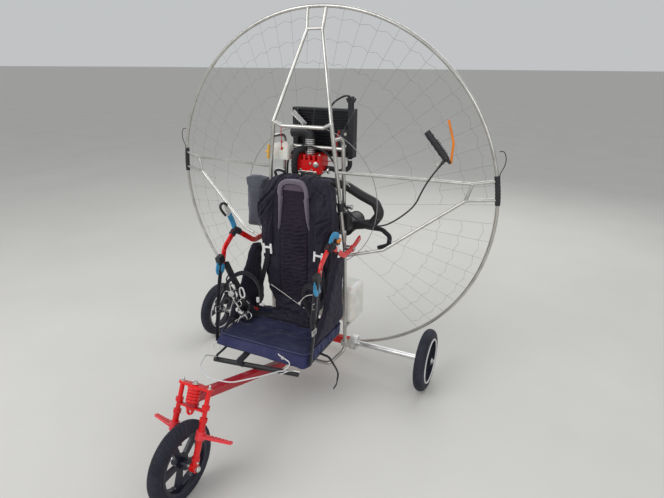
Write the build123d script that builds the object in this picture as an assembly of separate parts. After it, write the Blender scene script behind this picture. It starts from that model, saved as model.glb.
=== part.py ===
from build123d import *
from math import asin, cos, degrees, pi, radians, sin, sqrt
import os

# A motor unit for a powered paraglider, with its harness and seat, parked on a light three-wheeled trike.
# Millimetres. X points to the pilot's left, Y to the rear and Z up, with the ground at Z = 0.
# The model is drawn with Y = 0 at the centre of the propeller hoop, and moved at the end so that the origin
# lies on the ground in the middle of the whole footprint.

# Fits
RUNNING_CLEARANCE = 0.05
SEAT_GAP = 0.3

# Wheels, three alike
TYRE_RADIUS = 148.0
TYRE_SECTION_RADIUS = 25.0
RIM_RADIUS = 106.0
RIM_BAND = 8.0
RIM_WIDTH = 38.0
RIM_LIP = 3.5
WHEEL_DISC = 12.0
HUB_RADIUS = 19.0
HUB_LENGTH = 56.0
AXLE_RADIUS = 6.0
AXLE_NUT = 8.0
SPOKES = 5
HUB_GAP = 1.0

# Fork and head tube
FRONT_AXLE_Y = -1106.0
FORK_RAKE = 24.8
FORK_HALF_WIDTH = 58.0
FORK_LENGTH = 272.0
STANCHION_RADIUS = 8.5
SLIDER_RADIUS = 11.0
COLLAR_RADIUS = 14.0
COLLAR_LENGTH = 14.0
SLIDER_TOP = 172.0
DROPOUT_RADIUS = 15.0
DROPOUT_HALF = 11.0
CROWN_THICKNESS = 8.0
LOWER_BRIDGE_AT = 194.0
LOWER_BRIDGE_THICKNESS = 6.0
HEAD_TUBE_RADIUS = 22.0
STEM_RADIUS = 8.0
PEG_AT = 112.0
PEG_LENGTH = 100.0
PEG_SWEEP = 28.0
PEG_ROOT_WIDTH = 30.0
PEG_TIP_WIDTH = 15.0
PEG_THICKNESS = 9.0
PEG_TEETH = 6

# Beam, rear cross-member and axle tubes
BEAM_SIDE = 35.0
BEAM_CORNER = 5.0
BEAM_SLOPE = 20.0
BEAM_BEND_RADIUS = 120.0
REAR_AXLE_Y = -105.0
REAR_HALF_TRACK = 600.0
CROSSMEMBER_HALF = 216.0
AXLE_TUBE_RADIUS = 13.0
AXLE_TUBE_INSERT = 60.0
CLAMP_WIDTH = 34.0
CLAMP_HEIGHT = 56.0
CLAMP_DEPTH = 50.0

# Cage hoop and its spars
HOOP_RADIUS = 824.0
HOOP_CENTRE_Z = 863.7
HOOP_LEAN = 3.2
HOOP_TUBE = 8.0
SPAR_TUBE = 7.0
SPAR_BEND = 30.0
UPPER_SPAR_Z = 1007.0
LOWER_SPAR_Z = 928.0
UPPER_STRUT_INSET = 94.0
UPPER_STRUT_YZ = (-29.0, 990.0)
LOWER_STRUT_INSET = 125.0
LOWER_STRUT_YZ = (-36.0, 917.0)
LOWER_ELBOW = (371.0, -126.0, 671.0)
LOWER_SPAR_END_Z = 625.0
JOINT_WALL = 3.0
JOINT_OVERHANG = 1.6

# Welded chassis frame behind the back
CHASSIS_TUBE = 9.0
CHASSIS_BEND = 38.0
CHASSIS_TOP = (142.0, -196.0, 1218.0)
CHASSIS_UPPER = (166.0, -190.0, 1017.0)
CHASSIS_HIP = (197.0, -160.0, 660.0)
CHASSIS_FOOT = (204.0, -152.0, 126.0)
CROSSBAR_DIP = (103.0, -191.0, 1200.0)
BASE_LOOP = (168.0, -258.0, 92.0)
REAR_TUBE_Y = -88.0
REAR_TUBE_TOP = (148.0, 1152.0)
REAR_TUBE_BOTTOM = (165.0, 690.0)
UPPER_CROSS_Z = 1100.0
LOWER_CROSS_Z = 700.0
TANK_RAIL_Z = 250.0
TANK_RAIL_REAR = 8.0
ARM_PIN_RADIUS = 8.0
MAST_TUBE = 8.0
MAST_BEND = 60.0
MAST_BAR_DROP = 90.7
MAST_CROSSBAR = (37.0, -68.0, HOOP_CENTRE_Z + HOOP_RADIUS - MAST_BAR_DROP)
MAST_END_X = 43.0

# Engine, drive and propeller hub, square to the hoop
ENGINE_X = -19.0
CRANK_DROP = 62.0
CRANKCASE_RADIUS = 60.0
CRANKCASE_FRONT = -124.0
CRANKCASE_REAR = -6.0
CYLINDER_RADIUS = 45.0
CYLINDER_RIBS = 4
HEAD_WIDTH = 146.0
HEAD_DEPTH = 94.0
HEAD_BOTTOM_Z = 984.0
HEAD_TOP_Z = 1068.0
HEAD_FINS = 6
ENGINE_Y = -74.0
DRIVE_THICKNESS = 38.0
DRIVE_LARGE = 52.0
DRIVE_SMALL = 42.0
SHAFT_RADIUS = 15.0
HUB_FLANGE_RADIUS = 48.0
HUB_FLANGE_THICKNESS = 10.0
HUB_REAR = 100.0
HUB_BOSS_RADIUS = 24.0
HUB_BOLT_CIRCLE = 75.0
HUB_BOLTS = 6
HUB_BOLT_RADIUS = 4.1
EXHAUST_RADIUS = 22.0
EXHAUST_Y = -45.0
SILENCER_RADIUS = 40.0
SILENCER = (160.0, 735.0)
SILENCER_ENDS = (-78.0, 74.0)
TAIL_RADIUS = 11.0
HOSE_RADIUS = 11.0
LOWER_HOSE_BENDS = [24.0, 20.0, 14.0]
UPPER_HOSE_BENDS = [18.0, 14.0, 14.0]
AIR_BOX = (146.0, 210.0, 743.0, 825.0)
AIR_BOX_Y = (-150.0, -101.0)
CARBURETTOR_RADIUS = 21.0
STARTER_RADIUS = 7.0

# Radiator and tanks
RADIATOR_LEFT = 168.0
RADIATOR_RIGHT = -142.0
RADIATOR_BOTTOM = 1052.0
RADIATOR_TOP = 1268.0
RADIATOR_THICKNESS = 46.0
RADIATOR_RAIL = 10.0
RADIATOR_SIDE = 26.0
RADIATOR_FINS = 15
FIN_THICKNESS = 2.0
EXPANSION = (-178.0, -97.0, 1043.0, 1112.0)
EXPANSION_DEPTH = 56.0
FUEL_HALF_WIDTH = 236.0
FUEL_HEIGHT = 190.0
FUEL_DEPTH = 150.0
FUEL_FRONT_Y = -134.0

# Harness
BACK_TOP_Z = 990.0
BACK_HALF_TOP = 172.0
BACK_HALF_MIDDLE = 190.0
BACK_HALF_LOW = 150.0
BACK_HALF_FOOT = 96.0
BACK_MIDDLE_Z = 690.0
BACK_KNEE_Z = 600.0
BACK_CORNERS = [60.0, 60.0, 60.0, 12.0, 12.0, 60.0, 60.0, 60.0]
BACK_LOW_Z = 440.0
BACK_FRONT_TOP_Y = -262.0
BACK_FRONT_BOTTOM_Y = -284.0
COLLAR_OUTER = 83.0
COLLAR_INNER = 50.0
COLLAR_TOP_Z = 957.0
COLLAR_BOTTOM_Z = 700.0
COLLAR_PAD = 22.0
STRAP_WIDTH = 42.0
STRAP_THICKNESS = 5.0
SEAT_FRONT_Y = -594.0
SEAT_REAR_Y = -240.0
SEAT_TOP_Z = 332.0
SEAT_THICKNESS = 52.0
SEAT_HALF_FRONT = 230.0
SEAT_HALF_REAR = 232.0
SEAT_BOARD = 8.0
PANEL_THICKNESS = 12.0
PANEL_X = 210.0
PANEL_REAR_Y = -222.0
PANEL_EDGE = [(-222.0, 655.0), (-290.0, 672.0), (-345.0, 620.0), (-430.0, 470.0)]
PANEL_TIP_Y = (-540.0, -548.0)
ARM_X = 235.0
ARM_WIDTH = 24.0
ARM_THICKNESS = 9.0
ARM_HOLE_RADIUS = 4.5
FOOT_BAR_RADIUS = 11.0
FOOT_BAR_Y = -622.0
WIRE_RADIUS = 2.5

# Throttle
GRIP_TOP = (519.0, -75.0, 1197.0)
GRIP_BOTTOM = (606.0, -75.0, 1094.0)
GRIP_RADIUS = 14.0
LEVER_TOP = (604.0, -75.0, 1249.0)
LEVER_MIDDLE = (632.0, -75.0, 1160.0)
LEVER_BOTTOM = (628.0, -75.0, 1078.0)
LEVER_RADIUS = 5.0
FERRULE_LENGTH = 26.0
CLAMP_WALL = 6.0
CABLE_RADIUS = 3.5
CABLE_ROUTE = [(552, -98, 1013), (520, -98, 950), (497, -100, 887), (436, -110, 827), (376, -130, 787),
               (322, -150, 785), (260, -156, 802), (214, -148, 826), (188, -142, 856)]
CABLE_BENDS = [90, 90, 60, 90, 50, 60, 90, 50]

# Places that follow from the sizes above
LEAN = radians(HOOP_LEAN)
RAKE = radians(FORK_RAKE)
DRIVE_PLANE = Plane(origin=(0, 0, HOOP_CENTRE_Z), x_dir=(1, 0, 0), z_dir=(0, cos(LEAN), sin(LEAN)))
HOOP_PLANE = Plane(origin=(0, 0, HOOP_CENTRE_Z), x_dir=(1, 0, 0), z_dir=(0, -cos(LEAN), -sin(LEAN)))
FORK_PLANE = Plane(origin=(0, FRONT_AXLE_Y, TYRE_RADIUS), x_dir=(1, 0, 0), z_dir=(0, sin(RAKE), cos(RAKE)))
FRONTMOST_Y = FRONT_AXLE_Y - TYRE_RADIUS
REARMOST_Y = HUB_REAR * cos(LEAN) + HUB_FLANGE_RADIUS * sin(LEAN)
MIDDLE_Y = (FRONTMOST_Y + REARMOST_Y) / 2


def mirrored(point):
    """The same point on the pilot's other side."""
    return (-point[0], *point[1:])


def between(start, end, share):
    """The point a share of the way from start to end."""
    return tuple(a + (b - a) * share for a, b in zip(start, end))


def rod(start, end, radius):
    """A straight solid rod between two points."""
    run = Vector(end) - Vector(start)
    return Plane(origin=start, z_dir=run) * Cylinder(
        radius, run.length, align=(Align.CENTER, Align.CENTER, Align.MIN)
    )


def at_height(upper, lower, height):
    """The point at a height on the line between an upper and a lower point."""
    return between(upper, lower, (upper[2] - height) / (upper[2] - lower[2]))


def across(centre, radius, half_length):
    """A solid rod along X, the same length to both sides of its centre."""
    x, y, z = centre
    return rod((x - half_length, y, z), (x + half_length, y, z), radius)


def bent_rod(points, radius, bend):
    """A solid rod through the points, its corners rounded to the bend radius, or to a list of them."""
    route = FilletPolyline(*points, radius=bend)
    return sweep(Plane(origin=route @ 0, z_dir=route % 0) * Circle(radius), path=route)


def block(x_range, y_range, z_range):
    """A box between two limits on each axis."""
    size = [hi - lo for lo, hi in (x_range, y_range, z_range)]
    middle = [(hi + lo) / 2 for lo, hi in (x_range, y_range, z_range)]
    return Pos(*middle) * Box(*size)


def both_sides(piece):
    """The piece and its mirror image, as one shape."""
    return piece + mirror(piece, about=Plane.YZ)


def hoop_point(height):
    """The point of the hoop's centre line on the pilot's left at a height above the ground."""
    up = (height - HOOP_CENTRE_Z) / cos(LEAN)
    return (sqrt(HOOP_RADIUS**2 - up**2), -up * sin(LEAN), height)


def hoop_angle(height):
    """The angle up the hoop, from the horizontal, at a height above the ground."""
    return degrees(asin((height - HOOP_CENTRE_Z) / cos(LEAN) / HOOP_RADIUS))


def hoop_arc(start, sweep_angle, radius):
    """A length of the hoop's tube, from one angle round to the next."""
    arc = CenterArc((0, 0, 0), HOOP_RADIUS, start, sweep_angle)
    return HOOP_PLANE * sweep(Plane(origin=arc @ 0, z_dir=arc % 0) * Circle(radius), path=arc)


# Wheels
def rim_section():
    """Section of the rim's band and lips, with X along the axle."""
    half = RIM_WIDTH / 2
    lip = RIM_RADIUS + RIM_LIP
    return make_face(Polyline(
        (-half - RIM_LIP, RIM_RADIUS - RIM_BAND), (half + RIM_LIP, RIM_RADIUS - RIM_BAND),
        (half + RIM_LIP, lip), (half, lip), (half, RIM_RADIUS),
        (-half, RIM_RADIUS), (-half, lip), (-half - RIM_LIP, lip), close=True,
    ))


def wheel_window():
    """One rounded opening between two spokes, in the wheel's plane."""
    inner, outer = HUB_RADIUS + 14, RIM_RADIUS - RIM_BAND - 4
    half_inner, half_outer = radians(17), radians(27)
    corners = [
        (inner * cos(half_inner), -inner * sin(half_inner)),
        (outer * cos(half_outer), -outer * sin(half_outer)),
        (outer * 1.06, 0), (outer * cos(half_outer), outer * sin(half_outer)),
        (inner * cos(half_inner), inner * sin(half_inner)),
    ]
    return make_face(FilletPolyline(*corners, radius=[5, 8, 20, 8, 5], close=True))


def rim():
    """The moulded five-spoke wheel without its tyre, on the origin with its axle along X."""
    band = revolve(rim_section(), axis=Axis.X)
    disc = across((0, 0, 0), RIM_RADIUS - RIM_BAND / 2, WHEEL_DISC / 2)
    window = Plane.YZ * extrude(wheel_window(), WHEEL_DISC, both=True)
    windows = [Rot(X=360 / SPOKES * i) * window for i in range(SPOKES)]
    hub = across((0, 0, 0), HUB_RADIUS, HUB_LENGTH / 2)
    bore = across((0, 0, 0), AXLE_RADIUS + RUNNING_CLEARANCE, HUB_LENGTH)
    return band + (disc - windows) + hub - bore


def tyre():
    """The tyre, on the origin with its axle along X."""
    centre = TYRE_RADIUS - TYRE_SECTION_RADIUS
    section = Pos(0, centre) * Circle(TYRE_SECTION_RADIUS)
    bore = RIM_RADIUS + RUNNING_CLEARANCE
    seat = Pos(0, bore / 2) * Rectangle(4 * RIM_WIDTH, bore)
    return revolve(section - seat - offset(rim_section(), RUNNING_CLEARANCE), axis=Axis.X)


def axle_nut(start_x):
    """A hexagon nut on an axle along X, from a place outwards."""
    return Pos(start_x, 0, 0) * (Plane.YZ * extrude(RegularPolygon(AXLE_RADIUS * 1.8, 6), AXLE_NUT))


# Fork
def on_both_legs(piece):
    """A piece of the left fork leg, and its copy on the right leg, both in the fork's own frame."""
    return piece + mirror(piece, about=Plane.YZ)


def leg_cylinder(radius, start, end):
    """A cylinder on the left leg, from one distance up from the axle to the next."""
    return Pos(FORK_HALF_WIDTH, 0, start) * Cylinder(
        radius, end - start, align=(Align.CENTER, Align.CENTER, Align.MIN)
    )


def fork():
    """Legs, crown, lower bridge and steering stem, in the fork's own frame, with its origin on the axle."""
    leg = leg_cylinder(STANCHION_RADIUS, SLIDER_TOP - 10, FORK_LENGTH)
    leg += leg_cylinder(SLIDER_RADIUS, 0, SLIDER_TOP)
    for at in (SLIDER_TOP - COLLAR_LENGTH, 24, LOWER_BRIDGE_AT + 6):
        leg += leg_cylinder(COLLAR_RADIUS, at, at + COLLAR_LENGTH)
    leg += across((FORK_HALF_WIDTH, 0, 0), DROPOUT_RADIUS, DROPOUT_HALF)
    crown_outline = make_hull(
        (Pos(FORK_HALF_WIDTH, 0) * Circle(COLLAR_RADIUS)).edges()
        + (Pos(-FORK_HALF_WIDTH, 0) * Circle(COLLAR_RADIUS)).edges()
        + (Pos(0, 6) * Circle(HEAD_TUBE_RADIUS)).edges()
    )
    crown = Pos(0, 0, FORK_LENGTH - CROWN_THICKNESS) * extrude(crown_outline, CROWN_THICKNESS)
    bridge = Pos(0, 0, LOWER_BRIDGE_AT - LOWER_BRIDGE_THICKNESS / 2) * Box(
        2 * FORK_HALF_WIDTH, 2 * SLIDER_RADIUS, LOWER_BRIDGE_THICKNESS,
        align=(Align.CENTER, Align.CENTER, Align.MIN)
    )
    bridge += Pos(0, 0, LOWER_BRIDGE_AT - LOWER_BRIDGE_THICKNESS / 2) * Cylinder(
        HEAD_TUBE_RADIUS, LOWER_BRIDGE_THICKNESS, align=(Align.CENTER, Align.CENTER, Align.MIN)
    )
    lug_half = 13
    lug_outline = make_hull(
        (Pos(0, LOWER_BRIDGE_AT - 14) * Circle(lug_half)).edges()
        + (Pos(0, LOWER_BRIDGE_AT) * Rectangle(2 * lug_half + 8, 4)).edges()
    )
    eye = Pos(0, LOWER_BRIDGE_AT - 15) * Circle(6)
    lug = Pos(0, -SLIDER_RADIUS / 2, 0) * (Plane.XZ * extrude(lug_outline - eye, 4, both=True))
    stem = Pos(0, 0, LOWER_BRIDGE_AT) * Cylinder(
        STEM_RADIUS, FORK_LENGTH + 5 - LOWER_BRIDGE_AT, align=(Align.CENTER, Align.CENTER, Align.MIN)
    )
    shape = on_both_legs(leg) + crown + bridge + lug + stem
    return shape - across((0, 0, 0), AXLE_RADIUS + RUNNING_CLEARANCE, 2 * FORK_HALF_WIDTH)


def foot_pegs():
    """Toothed pegs on split collars round the sliders, in the fork's own frame."""
    collar = Pos(FORK_HALF_WIDTH, 0, PEG_AT) * Cylinder(SLIDER_RADIUS + 6, 30)
    root_x = FORK_HALF_WIDTH + SLIDER_RADIUS
    tip_x = root_x + PEG_LENGTH
    outline = make_face(Polyline(
        (root_x, -PEG_ROOT_WIDTH / 2), (tip_x, PEG_SWEEP - PEG_TIP_WIDTH / 2),
        (tip_x, PEG_SWEEP + PEG_TIP_WIDTH / 2), (root_x, PEG_ROOT_WIDTH / 2), close=True,
    ))
    blade = extrude(outline, PEG_THICKNESS / 2, both=True)
    pitch = (PEG_LENGTH - 20) / PEG_TEETH
    teeth = [
        Pos(root_x + 18 + pitch * i, PEG_SWEEP / 2, PEG_THICKNESS / 2) * Rot(Y=45) * Box(4, 60, 4)
        for i in range(PEG_TEETH)
    ]
    peg = collar + Pos(0, 0, PEG_AT) * blade
    peg -= Pos(0, 0, PEG_AT) * Compound(teeth)
    peg -= Pos(FORK_HALF_WIDTH, 0, PEG_AT) * Cylinder(SLIDER_RADIUS + RUNNING_CLEARANCE, 60)
    return on_both_legs(peg)


def front_axle():
    """Axle rod with its spacers and nuts, on the origin along X."""
    inner = FORK_HALF_WIDTH - DROPOUT_HALF - SEAT_GAP
    outer = FORK_HALF_WIDTH + DROPOUT_HALF + SEAT_GAP
    spacer = rod((HUB_LENGTH / 2 + HUB_GAP, 0, 0), (inner, 0, 0), AXLE_RADIUS + 3)
    return across((0, 0, 0), AXLE_RADIUS, outer + AXLE_NUT + 4) + both_sides(spacer + axle_nut(outer))


# Trike frame
def beam_head():
    """Where the beam's centre line meets the steering axis."""
    middle = (LOWER_BRIDGE_AT + FORK_LENGTH - CROWN_THICKNESS) / 2
    return (0, FRONT_AXLE_Y + middle * sin(RAKE), TYRE_RADIUS + middle * cos(RAKE))


def beam_top_z(y):
    """Height of the sloping beam's upper face at a place along the trike."""
    slope = radians(BEAM_SLOPE)
    _, head_y, head_z = beam_head()
    return head_z - (y - head_y) * sin(slope) / cos(slope) + BEAM_SIDE / 2 / cos(slope)


def main_beam():
    """Square beam from the head tube down to the rear cross-member, with the head tube welded on."""
    _, head_y, head_z = beam_head()
    slope = radians(BEAM_SLOPE)
    bend_y = head_y + (head_z - TYRE_RADIUS) * cos(slope) / sin(slope)
    rear_y = REAR_AXLE_Y - BEAM_SIDE / 2
    route = FilletPolyline((0, head_y, head_z), (0, bend_y, TYRE_RADIUS), (0, rear_y, TYRE_RADIUS),
                           radius=BEAM_BEND_RADIUS)
    section = Plane(origin=route @ 0, x_dir=(1, 0, 0), z_dir=route % 0) * RectangleRounded(
        BEAM_SIDE, BEAM_SIDE, BEAM_CORNER)
    bottom = LOWER_BRIDGE_AT + LOWER_BRIDGE_THICKNESS / 2 + HUB_GAP
    top = FORK_LENGTH - CROWN_THICKNESS - HUB_GAP
    head = Pos(0, 0, bottom) * Cylinder(HEAD_TUBE_RADIUS, top - bottom,
                                        align=(Align.CENTER, Align.CENTER, Align.MIN))
    for share in (0.12, 0.3, 0.7, 0.88):
        ring = Torus(HEAD_TUBE_RADIUS, 2.0)
        head += Pos(0, 0, bottom + (top - bottom) * share) * ring
    bore = Cylinder(STEM_RADIUS + RUNNING_CLEARANCE, 2 * FORK_LENGTH)
    return sweep(section, path=route) + FORK_PLANE * head - FORK_PLANE * bore


def crossmember():
    """Red box tube across the rear, bored for the axle tubes."""
    section = Plane.YZ * RectangleRounded(BEAM_SIDE, BEAM_SIDE, BEAM_CORNER)
    tube = extrude(section, CROSSMEMBER_HALF, both=True)
    bore = rod((CROSSMEMBER_HALF - AXLE_TUBE_INSERT, 0, 0), (CROSSMEMBER_HALF + 1, 0, 0),
               AXLE_TUBE_RADIUS + RUNNING_CLEARANCE)
    return Pos(0, REAR_AXLE_Y, TYRE_RADIUS) * (tube - both_sides(bore))


def axle_tube():
    """The left rear axle: tube, stub and nut, on the axle line."""
    hub_inner = REAR_HALF_TRACK - HUB_LENGTH / 2 - HUB_GAP
    hub_outer = REAR_HALF_TRACK + HUB_LENGTH / 2 + HUB_GAP
    shape = rod((CROSSMEMBER_HALF - AXLE_TUBE_INSERT + 1, 0, 0), (hub_inner, 0, 0), AXLE_TUBE_RADIUS)
    shape += rod((hub_inner, 0, 0), (hub_outer + AXLE_NUT + 4, 0, 0), AXLE_RADIUS)
    shape += axle_nut(hub_outer)
    return Pos(0, REAR_AXLE_Y, TYRE_RADIUS) * shape


def axle_clamp():
    """The left two-part clamp that holds the chassis tube to the axle tube."""
    left = CROSSMEMBER_HALF + SEAT_GAP
    foot_x, foot_y, _ = CHASSIS_FOOT
    lug_front = foot_y - CHASSIS_TUBE - 8
    body_front = REAR_AXLE_Y - CLAMP_DEPTH / 2
    body = block((left, left + CLAMP_WIDTH), (body_front, REAR_AXLE_Y + CLAMP_DEPTH / 2),
                 (TYRE_RADIUS - CLAMP_HEIGHT / 2, TYRE_RADIUS + CLAMP_HEIGHT / 2))
    lug_bottom = TYRE_RADIUS + 4
    lug = block((foot_x - CHASSIS_TUBE - 6, left + CLAMP_WIDTH), (lug_front, foot_y + CHASSIS_TUBE + 3),
                (lug_bottom, TYRE_RADIUS + CLAMP_HEIGHT / 2))
    lug += block((left, left + CLAMP_WIDTH), (lug_front, body_front + 5),
                 (lug_bottom, TYRE_RADIUS + CLAMP_HEIGHT / 2))
    split = block((left - 1, left + CLAMP_WIDTH + 1), (body_front - 1, REAR_AXLE_Y - AXLE_TUBE_RADIUS + 1),
                  (TYRE_RADIUS - 1, TYRE_RADIUS + 1))
    bore = rod((0, REAR_AXLE_Y, TYRE_RADIUS), (REAR_HALF_TRACK, REAR_AXLE_Y, TYRE_RADIUS),
               AXLE_TUBE_RADIUS + RUNNING_CLEARANCE)
    return body + lug - split - bore - chassis_tube(SEAT_GAP)


# Chassis frame and cage
def chassis_route():
    """Corners of the frame's main tube, down the left side, round the base and up the right."""
    left = [CHASSIS_TOP, CHASSIS_UPPER, CHASSIS_HIP, CHASSIS_FOOT, BASE_LOOP]
    return left + [mirrored(p) for p in reversed(left)]


def chassis_tube(extra=0.0):
    """The main tube of the frame, made thicker all round by a clearance."""
    return bent_rod(chassis_route(), CHASSIS_TUBE + extra, [300, 300, 300, CHASSIS_BEND, CHASSIS_BEND,
                                                           CHASSIS_BEND, CHASSIS_BEND, 300, 300, 300][1:-1])


def crossbar_tube(extra=0.0):
    """The dipped bar between the tops of the frame's two uprights."""
    corners = [CHASSIS_TOP, CROSSBAR_DIP, mirrored(CROSSBAR_DIP), mirrored(CHASSIS_TOP)]
    return bent_rod(corners, CHASSIS_TUBE + extra, CHASSIS_BEND / 2)


def rear_tube():
    """The left tube that runs down behind the frame and carries the engine."""
    top_x, top_z = REAR_TUBE_TOP
    low_x, low_z = REAR_TUBE_BOTTOM
    start = at_height(CHASSIS_TOP, CHASSIS_UPPER, top_z)
    end = at_height(CHASSIS_UPPER, CHASSIS_HIP, low_z)
    corners = [start, (top_x, REAR_TUBE_Y, top_z), (low_x, REAR_TUBE_Y, low_z), end]
    return bent_rod(corners, CHASSIS_TUBE, CHASSIS_BEND)


def rear_tube_x(height):
    """How far out the rear tubes stand at a height."""
    top_x, top_z = REAR_TUBE_TOP
    low_x, low_z = REAR_TUBE_BOTTOM
    return top_x + (low_x - top_x) * (top_z - height) / (top_z - low_z)


def chassis_frame():
    """The welded frame: main tube, top bar, engine tubes, tank rail, radiator posts and hanging-arm pins."""
    frame = chassis_tube() + crossbar_tube() + Pos(*CHASSIS_TOP) * Sphere(CHASSIS_TUBE)
    frame += Pos(*mirrored(CHASSIS_TOP)) * Sphere(CHASSIS_TUBE)
    frame += both_sides(rear_tube())
    for height in (UPPER_CROSS_Z, LOWER_CROSS_Z + CHASSIS_TUBE):
        reach = rear_tube_x(height)
        frame += rod((-reach, REAR_TUBE_Y, height), (reach, REAR_TUBE_Y, height), CHASSIS_TUBE)
    rail_start = at_height(CHASSIS_HIP, CHASSIS_FOOT, TANK_RAIL_Z)
    rail = [rail_start, (CHASSIS_FOOT[0] - 4, TANK_RAIL_REAR, TANK_RAIL_Z)]
    frame += bent_rod(rail + [mirrored(p) for p in reversed(rail)], CHASSIS_TUBE, CHASSIS_BEND)
    post_x = 90
    front = -RADIATOR_THICKNESS / 2 - SEAT_GAP
    post = rod((post_x, REAR_TUBE_Y, UPPER_CROSS_Z), (post_x, front, UPPER_CROSS_Z), 6)
    pin = rod(arm_pivot(0), arm_pivot(ARM_X + ARM_THICKNESS / 2 + 8), ARM_PIN_RADIUS)
    pin += rod(arm_pivot(0), arm_pivot(ARM_X - ARM_THICKNESS / 2 - 1), ARM_PIN_RADIUS + 4)
    return frame + both_sides(post + pin)


def arm_pivot(x):
    """A point on the pivot line of the hanging arms; the tube's own centre for an x of nought."""
    tube_x, tube_y, _ = at_height(CHASSIS_UPPER, CHASSIS_HIP, ARM_ROUTE[1][1])
    return (x or tube_x, tube_y, ARM_ROUTE[1][1])


def top_mast():
    """Two tubes from the frame's top corners to the hoop, tied by a short bar."""
    top_z = HOOP_CENTRE_Z + (HOOP_RADIUS - HOOP_TUBE) * cos(LEAN)
    end = (MAST_END_X, hoop_point(HOOP_CENTRE_Z + HOOP_RADIUS * 0.997 * cos(LEAN))[1], top_z)
    corners = [CHASSIS_TOP, MAST_CROSSBAR, end]
    tube = bent_rod(corners, MAST_TUBE, MAST_BEND)
    bar = rod(MAST_CROSSBAR, mirrored(MAST_CROSSBAR), MAST_TUBE * 0.8)
    socket = crossbar_tube(SEAT_GAP) + chassis_tube(SEAT_GAP) + both_sides(
        Pos(*CHASSIS_TOP) * Sphere(CHASSIS_TUBE + SEAT_GAP))
    mast = both_sides(tube) + bar - socket
    return mast - hoop_arc(60, 60, HOOP_TUBE + SEAT_GAP)


def hoop_half(upper):
    """The hoop's tube above or below its two side joints."""
    joint = hoop_angle((UPPER_SPAR_Z + LOWER_SPAR_Z) / 2)
    if upper:
        return hoop_arc(joint, 180 - 2 * joint, HOOP_TUBE)
    return hoop_arc(180 - joint, 180 + 2 * joint, HOOP_TUBE)


def hoop_joint():
    """The left sleeve over the hoop's joint, which also takes the ends of the two spars."""
    start = hoop_angle(LOWER_SPAR_Z) - JOINT_OVERHANG
    length = hoop_angle(UPPER_SPAR_Z) + JOINT_OVERHANG - start
    sleeve = hoop_arc(start, length, HOOP_TUBE + JOINT_WALL)
    return sleeve - hoop_arc(start - 1, length + 2, HOOP_TUBE + RUNNING_CLEARANCE)


def side_spar():
    """The left upper and lower spars with the upright between them."""
    upper_end, lower_end = hoop_point(UPPER_SPAR_Z), hoop_point(LOWER_SPAR_Z)
    upper_strut = (upper_end[0] - UPPER_STRUT_INSET, *UPPER_STRUT_YZ)
    lower_strut = (lower_end[0] - LOWER_STRUT_INSET, *LOWER_STRUT_YZ)
    upper = [upper_end, upper_strut, CHASSIS_UPPER]
    low_end = between(CHASSIS_HIP, CHASSIS_FOOT,
                      (CHASSIS_HIP[2] - LOWER_SPAR_END_Z) / (CHASSIS_HIP[2] - CHASSIS_FOOT[2]))
    lower = [lower_end, lower_strut, LOWER_ELBOW, low_end]
    spars = bent_rod(upper, SPAR_TUBE, SPAR_BEND) + bent_rod(lower, SPAR_TUBE, SPAR_BEND)
    spars += rod(upper_strut, lower_strut, SPAR_TUBE)
    start = hoop_angle(LOWER_SPAR_Z) - JOINT_OVERHANG - 1
    length = hoop_angle(UPPER_SPAR_Z) + JOINT_OVERHANG + 1 - start
    sleeve = hoop_arc(start, length, HOOP_TUBE + JOINT_WALL + SEAT_GAP)
    return spars - sleeve - chassis_tube(SEAT_GAP)


# Engine
def crankcase():
    """Round crankcase with its cooling ribs, cylinder seat and two feet on the frame's lower bar."""
    length = CRANKCASE_REAR - CRANKCASE_FRONT
    case = Pos(ENGINE_X, CRANK_DROP, CRANKCASE_FRONT) * Cylinder(
        CRANKCASE_RADIUS, length, align=(Align.CENTER, Align.CENTER, Align.MIN))
    for i in range(3):
        at = CRANKCASE_FRONT + length * (i + 1) / 4
        case += Pos(ENGINE_X, CRANK_DROP, at) * Cylinder(CRANKCASE_RADIUS + 5, 5)
    shape = DRIVE_PLANE * case
    foot_bottom = LOWER_CROSS_Z + 2 * CHASSIS_TUBE + SEAT_GAP
    crank_z = HOOP_CENTRE_Z - CRANK_DROP
    for side in (-1, 1):
        x = ENGINE_X + side * 38
        shape += block((x - 8, x + 8), (REAR_TUBE_Y - 14, REAR_TUBE_Y + 14), (foot_bottom, crank_z - 30))
    seat_bottom = crank_z + 20
    shape += block((ENGINE_X - 48, ENGINE_X + 48), (ENGINE_Y - 46, ENGINE_Y + 46),
                   (seat_bottom, crank_z + CRANKCASE_RADIUS + 12))
    return shape


def cylinder():
    """The upright water jacket with its ribs."""
    bottom = HOOP_CENTRE_Z - CRANK_DROP + CRANKCASE_RADIUS + 12 + SEAT_GAP
    height = HEAD_BOTTOM_Z - SEAT_GAP - bottom
    jacket = Pos(ENGINE_X, ENGINE_Y, bottom) * Cylinder(
        CYLINDER_RADIUS, height, align=(Align.CENTER, Align.CENTER, Align.MIN))
    for i in range(CYLINDER_RIBS):
        at = bottom + height * (i + 0.5) / CYLINDER_RIBS
        jacket += Pos(ENGINE_X, ENGINE_Y, at) * Cylinder(CYLINDER_RADIUS + 6, 5)
    return jacket


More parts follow.
